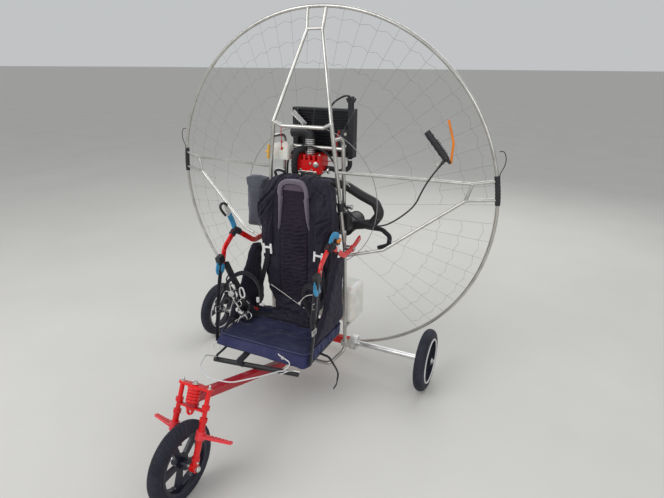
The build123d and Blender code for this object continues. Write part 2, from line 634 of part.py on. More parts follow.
def cylinder_head():
    """The red head, with upright ribs across its top."""
    height = HEAD_TOP_Z - HEAD_BOTTOM_Z
    body = fillet((Pos(ENGINE_X, ENGINE_Y, HEAD_BOTTOM_Z + height / 2) * Box(HEAD_WIDTH, HEAD_DEPTH, height))
                  .edges().filter_by(Axis.Z), 22)
    pitch = HEAD_WIDTH / HEAD_FINS
    for i in range(HEAD_FINS - 1):
        x = ENGINE_X - HEAD_WIDTH / 2 + pitch * (i + 1)
        body -= block((x - pitch * 0.3, x + pitch * 0.3), (ENGINE_Y - HEAD_DEPTH, ENGINE_Y + HEAD_DEPTH),
                      (HEAD_TOP_Z - height * 0.28, HEAD_TOP_Z + 1))
    return body


def reduction_drive():
    """The gear case between the crankcase and the propeller shaft, bored for the shaft."""
    outline = make_hull(
        (Pos(0, 0) * Circle(DRIVE_LARGE)).edges()
        + (Pos(ENGINE_X, CRANK_DROP) * Circle(DRIVE_SMALL)).edges()
    )
    start = CRANKCASE_REAR + SEAT_GAP
    case = Pos(0, 0, start) * extrude(outline, DRIVE_THICKNESS)
    case += Pos(0, 0, start) * Cylinder(SHAFT_RADIUS + 10, DRIVE_THICKNESS + 14,
                                        align=(Align.CENTER, Align.CENTER, Align.MIN))
    bore = Pos(0, 0, start + 10) * Cylinder(SHAFT_RADIUS + RUNNING_CLEARANCE, DRIVE_THICKNESS + 30,
                                            align=(Align.CENTER, Align.CENTER, Align.MIN))
    return DRIVE_PLANE * (case - bore)


def propeller_hub():
    """Shaft and bolted flange for a propeller, free to turn in the gear case."""
    start = CRANKCASE_REAR + SEAT_GAP + 10 + HUB_GAP
    shape = Pos(0, 0, start) * Cylinder(SHAFT_RADIUS, HUB_REAR - start,
                                        align=(Align.CENTER, Align.CENTER, Align.MIN))
    flange_front = HUB_REAR - HUB_FLANGE_THICKNESS
    shape += Pos(0, 0, flange_front) * Cylinder(HUB_FLANGE_RADIUS, HUB_FLANGE_THICKNESS,
                                                align=(Align.CENTER, Align.CENTER, Align.MIN))
    boss_start = CRANKCASE_REAR + SEAT_GAP + DRIVE_THICKNESS + 14 + 3
    shape += Pos(0, 0, boss_start) * Cylinder(HUB_BOSS_RADIUS, flange_front - boss_start,
                                              align=(Align.CENTER, Align.CENTER, Align.MIN))
    holes = [loc * Cylinder(HUB_BOLT_RADIUS, 3 * HUB_FLANGE_THICKNESS)
             for loc in PolarLocations(HUB_BOLT_CIRCLE / 2, HUB_BOLTS)]
    return DRIVE_PLANE * (shape - [Pos(0, 0, flange_front) * hole for hole in holes])


def exhaust_pipe():
    """The wide looping pipe from the cylinder's left side round to the silencer."""
    start_x = ENGINE_X + CYLINDER_RADIUS + 6 + SEAT_GAP
    silencer_x, silencer_z = SILENCER
    route = [(start_x, ENGINE_Y, 942), (84, ENGINE_Y, 942), (140, EXHAUST_Y, 932), (228, EXHAUST_Y, 889),
             (296, EXHAUST_Y, 862), (322, EXHAUST_Y, 812), (285, EXHAUST_Y, 761),
             (silencer_x, EXHAUST_Y, silencer_z)]
    pipe = bent_rod(route, EXHAUST_RADIUS, [45, 80, 200, 36, 36, 36])
    return pipe - silencer_body(SEAT_GAP)


def silencer_body(extra=0.0):
    """The silencer's can, made larger all round by a clearance."""
    x, z = SILENCER
    front, rear = SILENCER_ENDS
    return rod((x, front - extra, z), (x, rear + extra, z), SILENCER_RADIUS + extra)


def silencer():
    """Can with rolled ends and the strap that hangs it from the frame's lower bar."""
    x, z = SILENCER
    front, rear = SILENCER_ENDS
    can = silencer_body()
    for y in (front + 4, rear - 4):
        can += Pos(x, y, z) * Rot(X=90) * Torus(SILENCER_RADIUS, 2.5)
    return can


def tail_pipe():
    """The thin tail pipe that curls back under the exhaust."""
    silencer_x, silencer_z = SILENCER
    y = 8
    route = [(silencer_x, y, silencer_z), (245, y, 722), (316, y, 722), (356, y, 692), (352, y, 648),
             (300, y, 626)]
    return bent_rod(route, TAIL_RADIUS, [60, 40, 22, 22]) - silencer_body(SEAT_GAP)


def air_box():
    """Intake box and the short pipe to the carburettor."""
    left, right, bottom, top = AIR_BOX
    front, rear = AIR_BOX_Y
    box = fillet(block((left, right), (front, rear), (bottom, top)).edges(), 8)
    return box


def carburettor():
    """Carburettor body between the crankcase and the air box."""
    left = AIR_BOX[0] - SEAT_GAP
    y = (AIR_BOX_Y[0] + AIR_BOX_Y[1]) / 2
    z = (AIR_BOX[2] + AIR_BOX[3]) / 2
    start = ENGINE_X + CRANKCASE_RADIUS - 22
    body = rod((start, y, z), (left, y, z), CARBURETTOR_RADIUS - 5)
    body += rod((start + 40, y, z), (left - 12, y, z), CARBURETTOR_RADIUS)
    body += rod((left - 34, y, z - 36), (left - 34, y, z + 34), 13)
    return body - crankcase_envelope(SEAT_GAP)


def crankcase_envelope(extra):
    """The crankcase's round outline without its ribs' gaps, made larger by a clearance."""
    length = CRANKCASE_REAR - CRANKCASE_FRONT
    return DRIVE_PLANE * Pos(ENGINE_X, CRANK_DROP, CRANKCASE_FRONT - extra) * Cylinder(
        CRANKCASE_RADIUS + 5 + extra, length, align=(Align.CENTER, Align.CENTER, Align.MIN))


def radiator():
    """Core of thin level fins between two side tanks and two rails."""
    half = RADIATOR_THICKNESS / 2
    depth = (-half, half)
    left_tank = (RADIATOR_LEFT - RADIATOR_SIDE, RADIATOR_LEFT)
    right_tank = (RADIATOR_RIGHT, RADIATOR_RIGHT + RADIATOR_SIDE)
    shape = block(left_tank, depth, (RADIATOR_BOTTOM, RADIATOR_TOP))
    shape += block(right_tank, depth, (RADIATOR_BOTTOM, RADIATOR_TOP))
    span = (right_tank[1] - 1, left_tank[0] + 1)
    shape += block(span, depth, (RADIATOR_BOTTOM, RADIATOR_BOTTOM + RADIATOR_RAIL))
    shape += block(span, depth, (RADIATOR_TOP - RADIATOR_RAIL, RADIATOR_TOP))
    shape += block(span, (-3, 3), (RADIATOR_BOTTOM, RADIATOR_TOP))
    pitch = (RADIATOR_TOP - RADIATOR_BOTTOM - 2 * RADIATOR_RAIL) / (RADIATOR_FINS + 1)
    for i in range(RADIATOR_FINS):
        z = RADIATOR_BOTTOM + RADIATOR_RAIL + pitch * (i + 1)
        shape += block(span, (-half + 3, half - 3), (z - FIN_THICKNESS / 2, z + FIN_THICKNESS / 2))
    neck = rod((RADIATOR_LEFT - 22, 0, RADIATOR_TOP - 2), (RADIATOR_LEFT - 22, 0, RADIATOR_TOP + 28), 14)
    return shape + neck


def radiator_cap():
    """Filler cap on the radiator's neck."""
    z = RADIATOR_TOP + 28 + SEAT_GAP
    return rod((RADIATOR_LEFT - 22, 0, z), (RADIATOR_LEFT - 22, 0, z + 16), 19)


def coolant_hoses():
    """Upper and lower hoses between the radiator and the head."""
    gap = SEAT_GAP
    lower = [(RADIATOR_LEFT - 22, 0, RADIATOR_BOTTOM - gap), (RADIATOR_LEFT - 22, 0, 1000),
             (112, ENGINE_Y + 30, 988), (86, ENGINE_Y + 10, 1004),
             (ENGINE_X + HEAD_WIDTH / 2 + gap, ENGINE_Y + 10, 1004)]
    upper_x = ENGINE_X - 36
    upper_y = REAR_TUBE_Y + CHASSIS_TUBE + HOSE_RADIUS + 6
    upper = [(upper_x, upper_y, HEAD_TOP_Z + gap), (upper_x, upper_y, 1160), (-84, upper_y, 1185),
             (-122, upper_y + 6, 1180), (-122, -RADIATOR_THICKNESS / 2 - gap, 1180)]
    return bent_rod(lower, HOSE_RADIUS, LOWER_HOSE_BENDS) + bent_rod(upper, HOSE_RADIUS, UPPER_HOSE_BENDS)


def expansion_tank():
    """White coolant bottle, with its cap, against the frame's right rear tube."""
    right, left, bottom, top = EXPANSION
    rear = REAR_TUBE_Y - CHASSIS_TUBE - SEAT_GAP
    bottle = block((right, left), (rear - EXPANSION_DEPTH, rear), (bottom, top))
    bottle = fillet(bottle.edges().filter_by(Axis.Z), 12)
    middle = ((right + left) / 2 + 12, rear - EXPANSION_DEPTH / 2)
    return bottle + rod((*middle, top - 1), (*middle, top + 10), 16)


def starter_handle():
    """Pull handle of the recoil starter, parked on the right upright."""
    out = Vector(-CHASSIS_TUBE - SEAT_GAP - STARTER_RADIUS - 0.2, 0, 0)
    top, middle, low = (Vector(*mirrored(between(CHASSIS_TOP, CHASSIS_UPPER, share))) + out
                        for share in (0.52, 0.68, 0.84))
    return rod(top, low, STARTER_RADIUS) + rod(middle, middle + Vector(-14, 0, 0), STARTER_RADIUS - 2)


def fuel_tank():
    """Rounded white tank on the rail behind the seat back."""
    bottom = TANK_RAIL_Z + CHASSIS_TUBE + SEAT_GAP
    body = block((-FUEL_HALF_WIDTH, FUEL_HALF_WIDTH), (FUEL_FRONT_Y, FUEL_FRONT_Y + FUEL_DEPTH),
                 (bottom, bottom + FUEL_HEIGHT))
    body = fillet(body.edges(), 26)
    cap_y = FUEL_FRONT_Y + FUEL_DEPTH / 2
    return body + rod((-150, cap_y, bottom + FUEL_HEIGHT - 2), (-150, cap_y, bottom + FUEL_HEIGHT + 24), 24)


# Harness
def backrest(extra=0.0):
    """Padded back, hung against the frame's uprights, made larger all round by a clearance."""
    bottom = SEAT_TOP_Z + SEAT_GAP - extra
    clear = CHASSIS_TUBE + SEAT_GAP
    slope = (CHASSIS_HIP[1] - CHASSIS_UPPER[1]) / (CHASSIS_UPPER[2] - CHASSIS_HIP[2])
    rear_top = CHASSIS_UPPER[1] + (CHASSIS_UPPER[2] - BACK_TOP_Z) * slope - clear - 0.2
    profile = make_face(Polyline(
        (rear_top + extra, BACK_TOP_Z + extra), (BACK_FRONT_TOP_Y - extra, BACK_TOP_Z + extra),
        (BACK_FRONT_BOTTOM_Y - extra, BACK_KNEE_Z), (BACK_FRONT_BOTTOM_Y - extra, bottom),
        (CHASSIS_HIP[1] - clear - 12 + extra, bottom),
        (CHASSIS_HIP[1] - clear - 0.4 + extra, CHASSIS_HIP[2]),
        close=True,
    ))
    solid = extrude(Plane.YZ * profile, 2 * BACK_HALF_MIDDLE, both=True)
    left = [(BACK_HALF_TOP + extra, BACK_TOP_Z + extra), (BACK_HALF_MIDDLE + extra, BACK_MIDDLE_Z),
            (BACK_HALF_LOW + extra, BACK_LOW_Z), (BACK_HALF_FOOT + extra, bottom)]
    outline = make_face(FilletPolyline(
        *left, *[mirrored(point) for point in reversed(left)], radius=BACK_CORNERS, close=True,
    ))
    back = solid & extrude(Plane.XZ * outline, 600, both=True)
    low, high = clamp_ends()
    hole = CHASSIS_TUBE + CLAMP_WALL + SEAT_GAP - extra
    return back - rod(between(low, high, -0.05), between(high, low, -0.05), hole)


def collar():
    """U-shaped shoulder pad on the front of the back."""
    centre_z = COLLAR_TOP_Z - COLLAR_OUTER
    ring = Pos(0, centre_z) * (Circle(COLLAR_OUTER) - Circle(COLLAR_INNER))
    upper = ring & Pos(0, centre_z + COLLAR_OUTER / 2) * Rectangle(2 * COLLAR_OUTER, COLLAR_OUTER)
    leg = make_face(Polyline(
        (COLLAR_INNER, centre_z), (COLLAR_OUTER, centre_z), (COLLAR_OUTER + 22, COLLAR_BOTTOM_Z),
        (COLLAR_INNER + 26, COLLAR_BOTTOM_Z), close=True,
    ))
    outline = upper + leg + mirror(leg, about=Plane.YZ)
    front = BACK_FRONT_TOP_Y - COLLAR_PAD
    slab = Pos(0, BACK_FRONT_TOP_Y, 0) * extrude(Plane.XZ * outline, COLLAR_PAD + 8)
    reach = 2 * COLLAR_OUTER
    kept = block((-reach, reach), (front - 20, BACK_FRONT_TOP_Y + 8), (0, 2 * COLLAR_TOP_Z))
    return (slab & kept) - backrest(SEAT_GAP)


def shoulder_straps():
    """Webbing from the collar's legs down to the hips."""
    y = BACK_FRONT_BOTTOM_Y - SEAT_GAP
    outline = make_face(Polyline(
        (COLLAR_INNER + 28, COLLAR_BOTTOM_Z - 1), (COLLAR_INNER + 28 + STRAP_WIDTH, COLLAR_BOTTOM_Z - 1),
        (BACK_HALF_LOW + 24, 480), (BACK_HALF_LOW + 24 - STRAP_WIDTH, 470), close=True,
    ))
    strap = Pos(0, y, 0) * extrude(Plane.XZ * outline, STRAP_THICKNESS)
    return both_sides(strap)


def seat_outline():
    """The seat's outline seen from above, wider at the front."""
    return make_face(FilletPolyline(
        (-SEAT_HALF_FRONT, SEAT_FRONT_Y), (SEAT_HALF_FRONT, SEAT_FRONT_Y), (SEAT_HALF_REAR, SEAT_REAR_Y),
        (-SEAT_HALF_REAR, SEAT_REAR_Y), radius=[34, 34, 20, 20], close=True,
    ))


def seat_cushion():
    """Seat pad on its board."""
    return Pos(0, 0, SEAT_TOP_Z - SEAT_THICKNESS) * extrude(seat_outline(), SEAT_THICKNESS)


def seat_board():
    """Stiff board under the seat pad."""
    return Pos(0, 0, SEAT_TOP_Z - SEAT_THICKNESS - SEAT_GAP - SEAT_BOARD) * extrude(
        offset(seat_outline(), -12), SEAT_BOARD)


def side_panel():
    """The left hip wing between the back and the seat."""
    floor = SEAT_TOP_Z + SEAT_GAP
    profile = make_face(Polyline(
        *PANEL_EDGE, (PANEL_TIP_Y[0], floor + 16), (PANEL_TIP_Y[1], floor), (PANEL_REAR_Y, floor), close=True,
    ))
    return Pos(PANEL_X, 0, 0) * extrude(Plane.YZ * profile, PANEL_THICKNESS)


def side_pocket():
    """Grey pocket beside the right upright."""
    bottom, top, corner = 712, 958, 12
    tube_x, tube_y, _ = at_height(CHASSIS_UPPER, CHASSIS_HIP, bottom + corner)
    inner = -(tube_x + CHASSIS_TUBE + SEAT_GAP)
    pocket = block((inner - 112, inner), (tube_y - 34, tube_y + 42), (bottom, top))
    return fillet(pocket.edges(), corner)


ARM_ROUTE = [(-72, 694), (-162, 668), (-256, 665), (-398, 761), (-484, 700), (-502, 636)]


def hanging_arm():
    """The left red hanging arm, a swan-necked bar with hook holes, on its pin."""
    route = FilletPolyline(*[(ARM_X, y, z) for y, z in ARM_ROUTE], radius=[90, 80, 34, 40])
    section = Plane(origin=route @ 0, x_dir=(1, 0, 0), z_dir=route % 0) * RectangleRounded(
        ARM_THICKNESS, ARM_WIDTH, 2)
    arm = sweep(section, path=route)
    pivot = arm_pivot(ARM_X)
    arm += across(pivot, ARM_WIDTH / 2 + 5, ARM_THICKNESS / 2)
    arm -= across(pivot, ARM_PIN_RADIUS + RUNNING_CLEARANCE, 2 * ARM_THICKNESS)
    tip, before = ARM_ROUTE[-1], ARM_ROUTE[-2]
    for share in (0.18, 0.5, 0.82):
        arm -= across((ARM_X, *between(tip, before, share)), ARM_HOLE_RADIUS, 2 * ARM_THICKNESS)
    return arm


def foot_bar():
    """Dark bar under the front of the seat, resting on the beam."""
    middle_z = beam_top_z(FOOT_BAR_Y) + FOOT_BAR_RADIUS + 2
    return rod((-205, FOOT_BAR_Y - 22, middle_z - 6), (190, FOOT_BAR_Y + 20, middle_z + 6), FOOT_BAR_RADIUS)


def wire_loop():
    """Pale stiff wire that arches forward over the beam from the two ends of the foot bar."""
    middle_z = beam_top_z(FOOT_BAR_Y) + FOOT_BAR_RADIUS + 2
    z = 345
    route = [(-190, FOOT_BAR_Y - 21, middle_z - 6 + FOOT_BAR_RADIUS + WIRE_RADIUS + SEAT_GAP),
             (-172, -735, 322), (-118, -838, z), (-30, -890, z), (60, -872, z), (128, -800, z),
             (166, -700, 322),
             (176, FOOT_BAR_Y + 19, middle_z + 6 + FOOT_BAR_RADIUS + WIRE_RADIUS + SEAT_GAP)]
    return bent_rod(route, WIRE_RADIUS, [90, 80, 70, 70, 80, 90])


# Throttle
def cable_start():
    """Where the cable leaves the grip's ferrule."""
    run = Vector(CABLE_ROUTE[0]) - Vector(GRIP_BOTTOM)
    return Vector(GRIP_BOTTOM) + run.normalized() * FERRULE_LENGTH


def throttle_grip():
    """Hand grip with its finger ridges, hinge block and the ferrule that the cable leaves."""
    grip = rod(GRIP_TOP, GRIP_BOTTOM, GRIP_RADIUS)
    for share in (0.15, 0.35, 0.55, 0.75):
        low = between(GRIP_TOP, GRIP_BOTTOM, share)
        grip += rod(low, between(GRIP_TOP, GRIP_BOTTOM, share + 0.06), GRIP_RADIUS + 1.5)
    grip += rod(GRIP_BOTTOM, LEVER_BOTTOM, LEVER_RADIUS + 3) + Pos(*GRIP_BOTTOM) * Sphere(GRIP_RADIUS)
    grip += rod(GRIP_BOTTOM, cable_start(), 2 * CABLE_RADIUS)
    return grip - throttle_lever(RUNNING_CLEARANCE)


def throttle_lever(extra=0.0):
    """Orange lever hinged at the grip's lower end, made larger all round by a clearance."""
    lever = bent_rod([LEVER_TOP, LEVER_MIDDLE, LEVER_BOTTOM], LEVER_RADIUS + extra, 60)
    return lever + Pos(*LEVER_BOTTOM) * Sphere(LEVER_RADIUS + extra)


def cable_points():
    """The corners of the cable's route, from the grip to the clamp."""
    return [cable_start()] + CABLE_ROUTE


def throttle_cable():
    """The cable that sags between the grip's ferrule and the clamp on the frame."""
    return bent_rod(cable_points(), CABLE_RADIUS, CABLE_BENDS)


def clamp_ends():
    """Lower and upper end of the cable clamp on the left upright."""
    share = (CHASSIS_UPPER[2] - CABLE_ROUTE[-1][2]) / (CHASSIS_UPPER[2] - CHASSIS_HIP[2])
    low = between(CHASSIS_UPPER, CHASSIS_HIP, share + 0.04)
    return low, between(CHASSIS_UPPER, CHASSIS_HIP, share - 0.06)


def cable_clamp():
    """Clamp round the left upright with the ferrule that takes the cable's end."""
    end, before = Vector(CABLE_ROUTE[-1]), Vector(CABLE_ROUTE[-2])
    low, high = clamp_ends()
    clamp = rod(low, high, CHASSIS_TUBE + CLAMP_WALL)
    clamp += rod(end, end + (end - before).normalized() * FERRULE_LENGTH, 2 * CABLE_RADIUS)
    ferrule = end + (end - before).normalized() * FERRULE_LENGTH
    clamp += rod(between(low, high, 0.5), ferrule, 2 * CABLE_RADIUS)
    return clamp - chassis_tube(SEAT_GAP) - throttle_cable()


def pieces():
    """Every piece by its node's name."""
    wheel = {"rim": rim(), "tyre": tyre()}
    front = Pos(0, FRONT_AXLE_Y, TYRE_RADIUS)
    rear_left = Pos(REAR_HALF_TRACK, REAR_AXLE_Y, TYRE_RADIUS)
    rear_right = Pos(-REAR_HALF_TRACK, REAR_AXLE_Y, TYRE_RADIUS)
    made = {
        "main_beam": main_beam(),
        "rear_crossmember": crossmember(),
        "fork": FORK_PLANE * fork(),
        "foot_pegs": FORK_PLANE * foot_pegs(),
        "front_axle": front * front_axle(),
        "chassis_frame": chassis_frame(),
        "top_mast": top_mast(),
        "hoop_upper": hoop_half(True),
        "hoop_lower": hoop_half(False),
        "crankcase": crankcase(),
        "cylinder": cylinder(),
        "cylinder_head": cylinder_head(),
        "reduction_drive": reduction_drive(),
        "propeller_hub": propeller_hub(),
        "exhaust_pipe": exhaust_pipe(),
        "silencer": silencer(),
        "tail_pipe": tail_pipe(),
        "air_box": air_box(),
        "carburettor": carburettor(),
        "radiator": radiator(),
        "radiator_cap": radiator_cap(),
        "coolant_hoses": coolant_hoses(),
        "expansion_tank": expansion_tank(),
        "starter_handle": starter_handle(),
        "fuel_tank": fuel_tank(),
        "backrest": backrest(),
        "collar": collar(),
        "shoulder_straps": shoulder_straps(),
        "seat_cushion": seat_cushion(),
        "seat_board": seat_board(),
        "side_pocket": side_pocket(),
        "foot_bar": foot_bar(),
        "wire_loop": wire_loop(),
        "throttle_grip": throttle_grip(),
        "throttle_lever": throttle_lever(),
        "throttle_cable": throttle_cable(),
        "cable_clamp": cable_clamp(),
    }
    for name, place in (("front", front), ("rear_left", rear_left), ("rear_right", rear_right)):
        for piece, shape in wheel.items():
            made[f"{name}_{piece}"] = place * shape
    paired = {
        "axle_tube": axle_tube(),
        "axle_clamp": axle_clamp(),
        "hoop_joint": hoop_joint(),
        "side_spar": side_spar(),
        "side_panel": side_panel(),
        "hanging_arm": hanging_arm(),
    }
    for name, shape in paired.items():
        made[f"{name}_left"] = shape
        made[f"{name}_right"] = mirror(shape, about=Plane.YZ)
    return {name: Pos(0, -MIDDLE_Y, 0) * shape for name, shape in made.items()}


if __name__ == "__main__":
    os.makedirs("parts", exist_ok=True)
    for name, shape in pieces().items():
        export_step(shape, f"parts/{name}.step")
        print(name, len(shape.solids()), round(shape.volume))
    length = FilletPolyline(*cable_points(), radius=CABLE_BENDS).length
    filled = throttle_cable().volume / (pi * CABLE_RADIUS**2 * length)
    print("cable length", round(length, 1), "bend radii", CABLE_BENDS)
    print("cable volume over section times length", round(filled, 4))
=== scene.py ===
"""Dresses a powered-paraglider motor unit that stands on its three-wheeled trike.

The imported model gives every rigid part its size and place. This script adds the soft harness, the net, the
cords, the fittings and the finishes, in metres, with +X to the pilot's left, +Y to the rear and +Z up.
"""

import logging
import math
from collections.abc import Callable
from dataclasses import dataclass, field
from enum import Enum

import bmesh
import bpy
from mathutils import Matrix, Vector, noise


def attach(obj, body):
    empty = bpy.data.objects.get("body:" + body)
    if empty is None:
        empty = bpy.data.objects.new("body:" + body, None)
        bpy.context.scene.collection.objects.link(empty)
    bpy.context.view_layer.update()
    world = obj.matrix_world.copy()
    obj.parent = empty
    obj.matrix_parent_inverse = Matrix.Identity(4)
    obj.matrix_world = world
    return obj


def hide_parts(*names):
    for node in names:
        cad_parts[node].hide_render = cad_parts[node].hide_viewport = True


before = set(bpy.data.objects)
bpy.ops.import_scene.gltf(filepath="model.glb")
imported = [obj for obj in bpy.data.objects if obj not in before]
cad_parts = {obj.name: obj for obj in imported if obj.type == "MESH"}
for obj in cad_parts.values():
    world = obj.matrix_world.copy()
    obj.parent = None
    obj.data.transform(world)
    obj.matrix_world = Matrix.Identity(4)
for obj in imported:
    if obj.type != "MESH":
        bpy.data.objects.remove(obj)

log = logging.getLogger("motor_unit")

Node = bpy.types.Node
Triple = tuple[float, float, float]
Seat = tuple[Vector, Vector]
Relief = Callable[[float, float, Vector], float]
Hand = Callable[[Vector, Vector], Vector]

HOOP_Y = 0.57574
HOOP_Z = 0.8637
HOOP_RADIUS = 0.824
HOOP_LEAN = math.radians(3.2)
PHOTO_WIDTH = 664
PHOTO_FOCAL = 490.5
WHEEL_RADIUS = 0.148
FRONT_AXLE = (0.0, -0.53026, WHEEL_RADIUS)
REAR_LEFT_AXLE = (0.600, 0.47074, WHEEL_RADIUS)
REAR_RIGHT_AXLE = (-0.600, 0.47074, WHEEL_RADIUS)
SIDES = ((1, "left"), (-1, "right"))


def spot(x: float, y: float, z: float) -> Vector:
    """A place whose y is measured from the hoop's centre."""
    return Vector((x, y + HOOP_Y, z))


def spots(places: tuple[Triple, ...], side: int = 1) -> list[Vector]:
    """Places whose y is measured from the hoop's centre, on the pilot's left or mirrored."""
    return [spot(side * x, y, z) for x, y, z in places]


def fractal(place: Vector, scale: float, octaves: int = 3) -> float:
    """Smooth noise of about -1 to 1 at a place, finer with a larger scale."""
    return noise.fractal(place * scale, 1.0, 2.0, octaves, noise_basis="PERLIN_ORIGINAL")


class Body(Enum):
    """The bodies that pieces ride on."""

    AIRFRAME = "airframe"
    FORK = "fork"
    FRONT_WHEEL = "front_wheel"
    REAR_LEFT = "rear_wheel_left"
    REAR_RIGHT = "rear_wheel_right"
    PROPELLER = "propeller_hub"


class Recipe:
    """A material's nodes, added and joined with short calls."""

    def __init__(self, name: str) -> None:
        """Starts an empty material with one Principled shader."""
        self.material = bpy.data.materials.new(name)
        self.material.use_nodes = True
        self.tree = self.material.node_tree
        self.tree.nodes.clear()
        self.output = self.add("ShaderNodeOutputMaterial")
        self.shader = self.add("ShaderNodeBsdfPrincipled")
        self.join(self.shader, "BSDF", self.output, "Surface")
        self.coordinates = self.add("ShaderNodeTexCoord")

    def add(self, kind: str, inputs: dict | None = None, **settings) -> Node:
        """Adds a node.

        Args:
            kind: the node's type.
            inputs: values for its sockets, by name or number.
            settings: values for its properties.

        Returns:
            The new node.
        """
        node = self.tree.nodes.new(kind)
        for key, value in settings.items():
            setattr(node, key, value)
        for key, value in (inputs or {}).items():
            node.inputs[key].default_value = value
        return node

    def join(self, source: Node, output: str | int, target: Node, socket: str | int) -> None:
        """Links an output of one node to a socket of another."""
        self.tree.links.new(source.outputs[output], target.inputs[socket])

    def finish(self, **sockets: float | tuple) -> None:
        """Sets values on the shader's own sockets, with underscores for spaces."""
        for key, value in sockets.items():
            self.shader.inputs[key.replace("_", " ")].default_value = value

    def place(self, stretch: Triple = (1, 1, 1), surface: bool = False) -> Node:
        """Coordinates for a pattern.

        Args:
            stretch: the scale along each axis.
            surface: reads the piece's own UV map in place of its Object coordinates.

        Returns:
            A Mapping node.
        """
        node = self.add("ShaderNodeMapping")
        node.inputs["Scale"].default_value = stretch
        self.join(self.coordinates, "UV" if surface else "Object", node, "Vector")
        return node

    def cloud(self, scale: float, detail: float = 3.0, stretch: Triple = (1, 1, 1)) -> Node:
        """Noise on the piece's Object coordinates."""
        node = self.add("ShaderNodeTexNoise", {"Scale": scale, "Detail": detail, "Roughness": 0.55})
        self.join(self.place(stretch), "Vector", node, "Vector")
        return node

    def bands(self, scale: float, direction: str, surface: bool = False, distortion: float = 0.0) -> Node:
        """Sine bands across one axis, on Object coordinates or on the UV map."""
        node = self.add("ShaderNodeTexWave", {"Scale": scale, "Distortion": distortion, "Detail": 1.0},
                        bands_direction=direction)
        self.join(self.place(surface=surface), "Vector", node, "Vector")
        return node

    def steps(self, source: Node, output: str | int, stops: list[tuple[float, tuple]]) -> Node:
        """A colour ramp over one output.

        Args:
            source: the node that drives the ramp.
            output: which of its outputs.
            stops: positions with their colours, at least two.

        Returns:
            The ramp node.
        """
        node = self.add("ShaderNodeValToRGB")
        ramp = node.color_ramp
        while len(ramp.elements) < len(stops):
            ramp.elements.new(0.5)
        for element, (position, colour) in zip(ramp.elements, stops):
            element.position = position
            element.color = (*colour, 1.0)
        self.join(source, output, node, "Fac")
        return node

    def sum(self, parts: list[tuple[Node, str | int, float]]) -> Node:
        """A weighted sum of several outputs, as one Math node."""
        total = None
        for node, output, weight in parts:
            scaled = self.add("ShaderNodeMath", {1: weight}, operation="MULTIPLY")
            self.join(node, output, scaled, 0)
            if total is None:
                total = scaled
                continue
            joined = self.add("ShaderNodeMath", operation="ADD")
            self.join(total, 0, joined, 0)
            self.join(scaled, 0, joined, 1)
            total = joined
        return total

    def blend(self, share: Node, output: str | int, low: Node, high: Node) -> Node:
        """A colour mix of two ramps by a share."""
        node = self.add("ShaderNodeMix", data_type="RGBA")
        self.join(share, output, node, 0)
        self.join(low, "Color", node, 6)
        self.join(high, "Color", node, 7)
        return node

    def relief(self, height: Node, output: str | int, strength: float, depth: float) -> None:
        """Bump on the shader from one output."""
        node = self.add("ShaderNodeBump", {"Strength": strength, "Distance": depth})
        self.join(height, output, node, "Height")
        self.join(node, "Normal", self.shader, "Normal")

    def tint(self, node: Node, output: str | int = "Color") -> None:
        """Drives the shader's colour."""
        self.join(node, output, self.shader, "Base Color")

    def rough(self, node: Node, low: float, high: float, output: str | int = 0) -> None:
        """Drives the shader's roughness between two values."""
        span = self.add("ShaderNodeMapRange", {"To Min": low, "To Max": high})
        self.join(node, output, span, "Value")
        self.join(span, "Result", self.shader, "Roughness")


def shade(colour: Triple, factor: float) -> Triple:
    """The colour made darker or paler, kept within 0 to 1."""
    return tuple(min(1.0, max(0.0, part * factor)) for part in colour)


def toward(colour: Triple, other: Triple, share: float) -> Triple:
    """A colour a share of the way to another."""
    return tuple(a + (b - a) * share for a, b in zip(colour, other))


@dataclass(frozen=True)
class Finish:
    """A finish with its slot name, which makes its material once and then gives it again."""

    name: str
    colour: Triple
    slot: str = "black_plastic"

    def material(self) -> bpy.types.Material:
        """The finish's material, made on first use."""
        made = bpy.data.materials.get(self.name)
        return made or self.mix()

    def mix(self) -> bpy.types.Material:
        """Makes the material."""
        recipe = Recipe(self.name)
        recipe.finish(Base_Color=(*self.colour, 1))
        return recipe.material


@dataclass(frozen=True)
class GlossPaint(Finish):
    """Sprayed gloss paint, darker and paler in broad patches, with small chips down to the primer."""

    slot: str = "red_paint"
    gloss: float = 0.22
    chips: float = 0.5

    def mix(self) -> bpy.types.Material:
        """Makes the material."""
        recipe = Recipe(self.name)
        broad = recipe.cloud(9.0)
        body = recipe.steps(broad, 0, [(0.3, shade(self.colour, 0.82)), (0.7, shade(self.colour, 1.08))])
        grit = recipe.cloud(160.0, 4.0)
        chipped = recipe.steps(grit, 0, [(0.69, (0, 0, 0)), (0.72, (self.chips,) * 3)])
        primer = toward(self.colour, (0.55, 0.5, 0.48), 0.55)
        bare = recipe.steps(broad, 0, [(0.0, primer), (1.0, (0.4, 0.36, 0.34))])
        recipe.tint(recipe.blend(chipped, "Color", body, bare), 2)
        recipe.rough(recipe.cloud(45.0), self.gloss - 0.06, self.gloss + 0.2)
        recipe.finish(Coat_Weight=0.2, Coat_Roughness=0.12, Specular_IOR_Level=0.4)
        recipe.relief(recipe.cloud(900.0, 2.0), 0, 0.06, 0.0006)
        return recipe.material


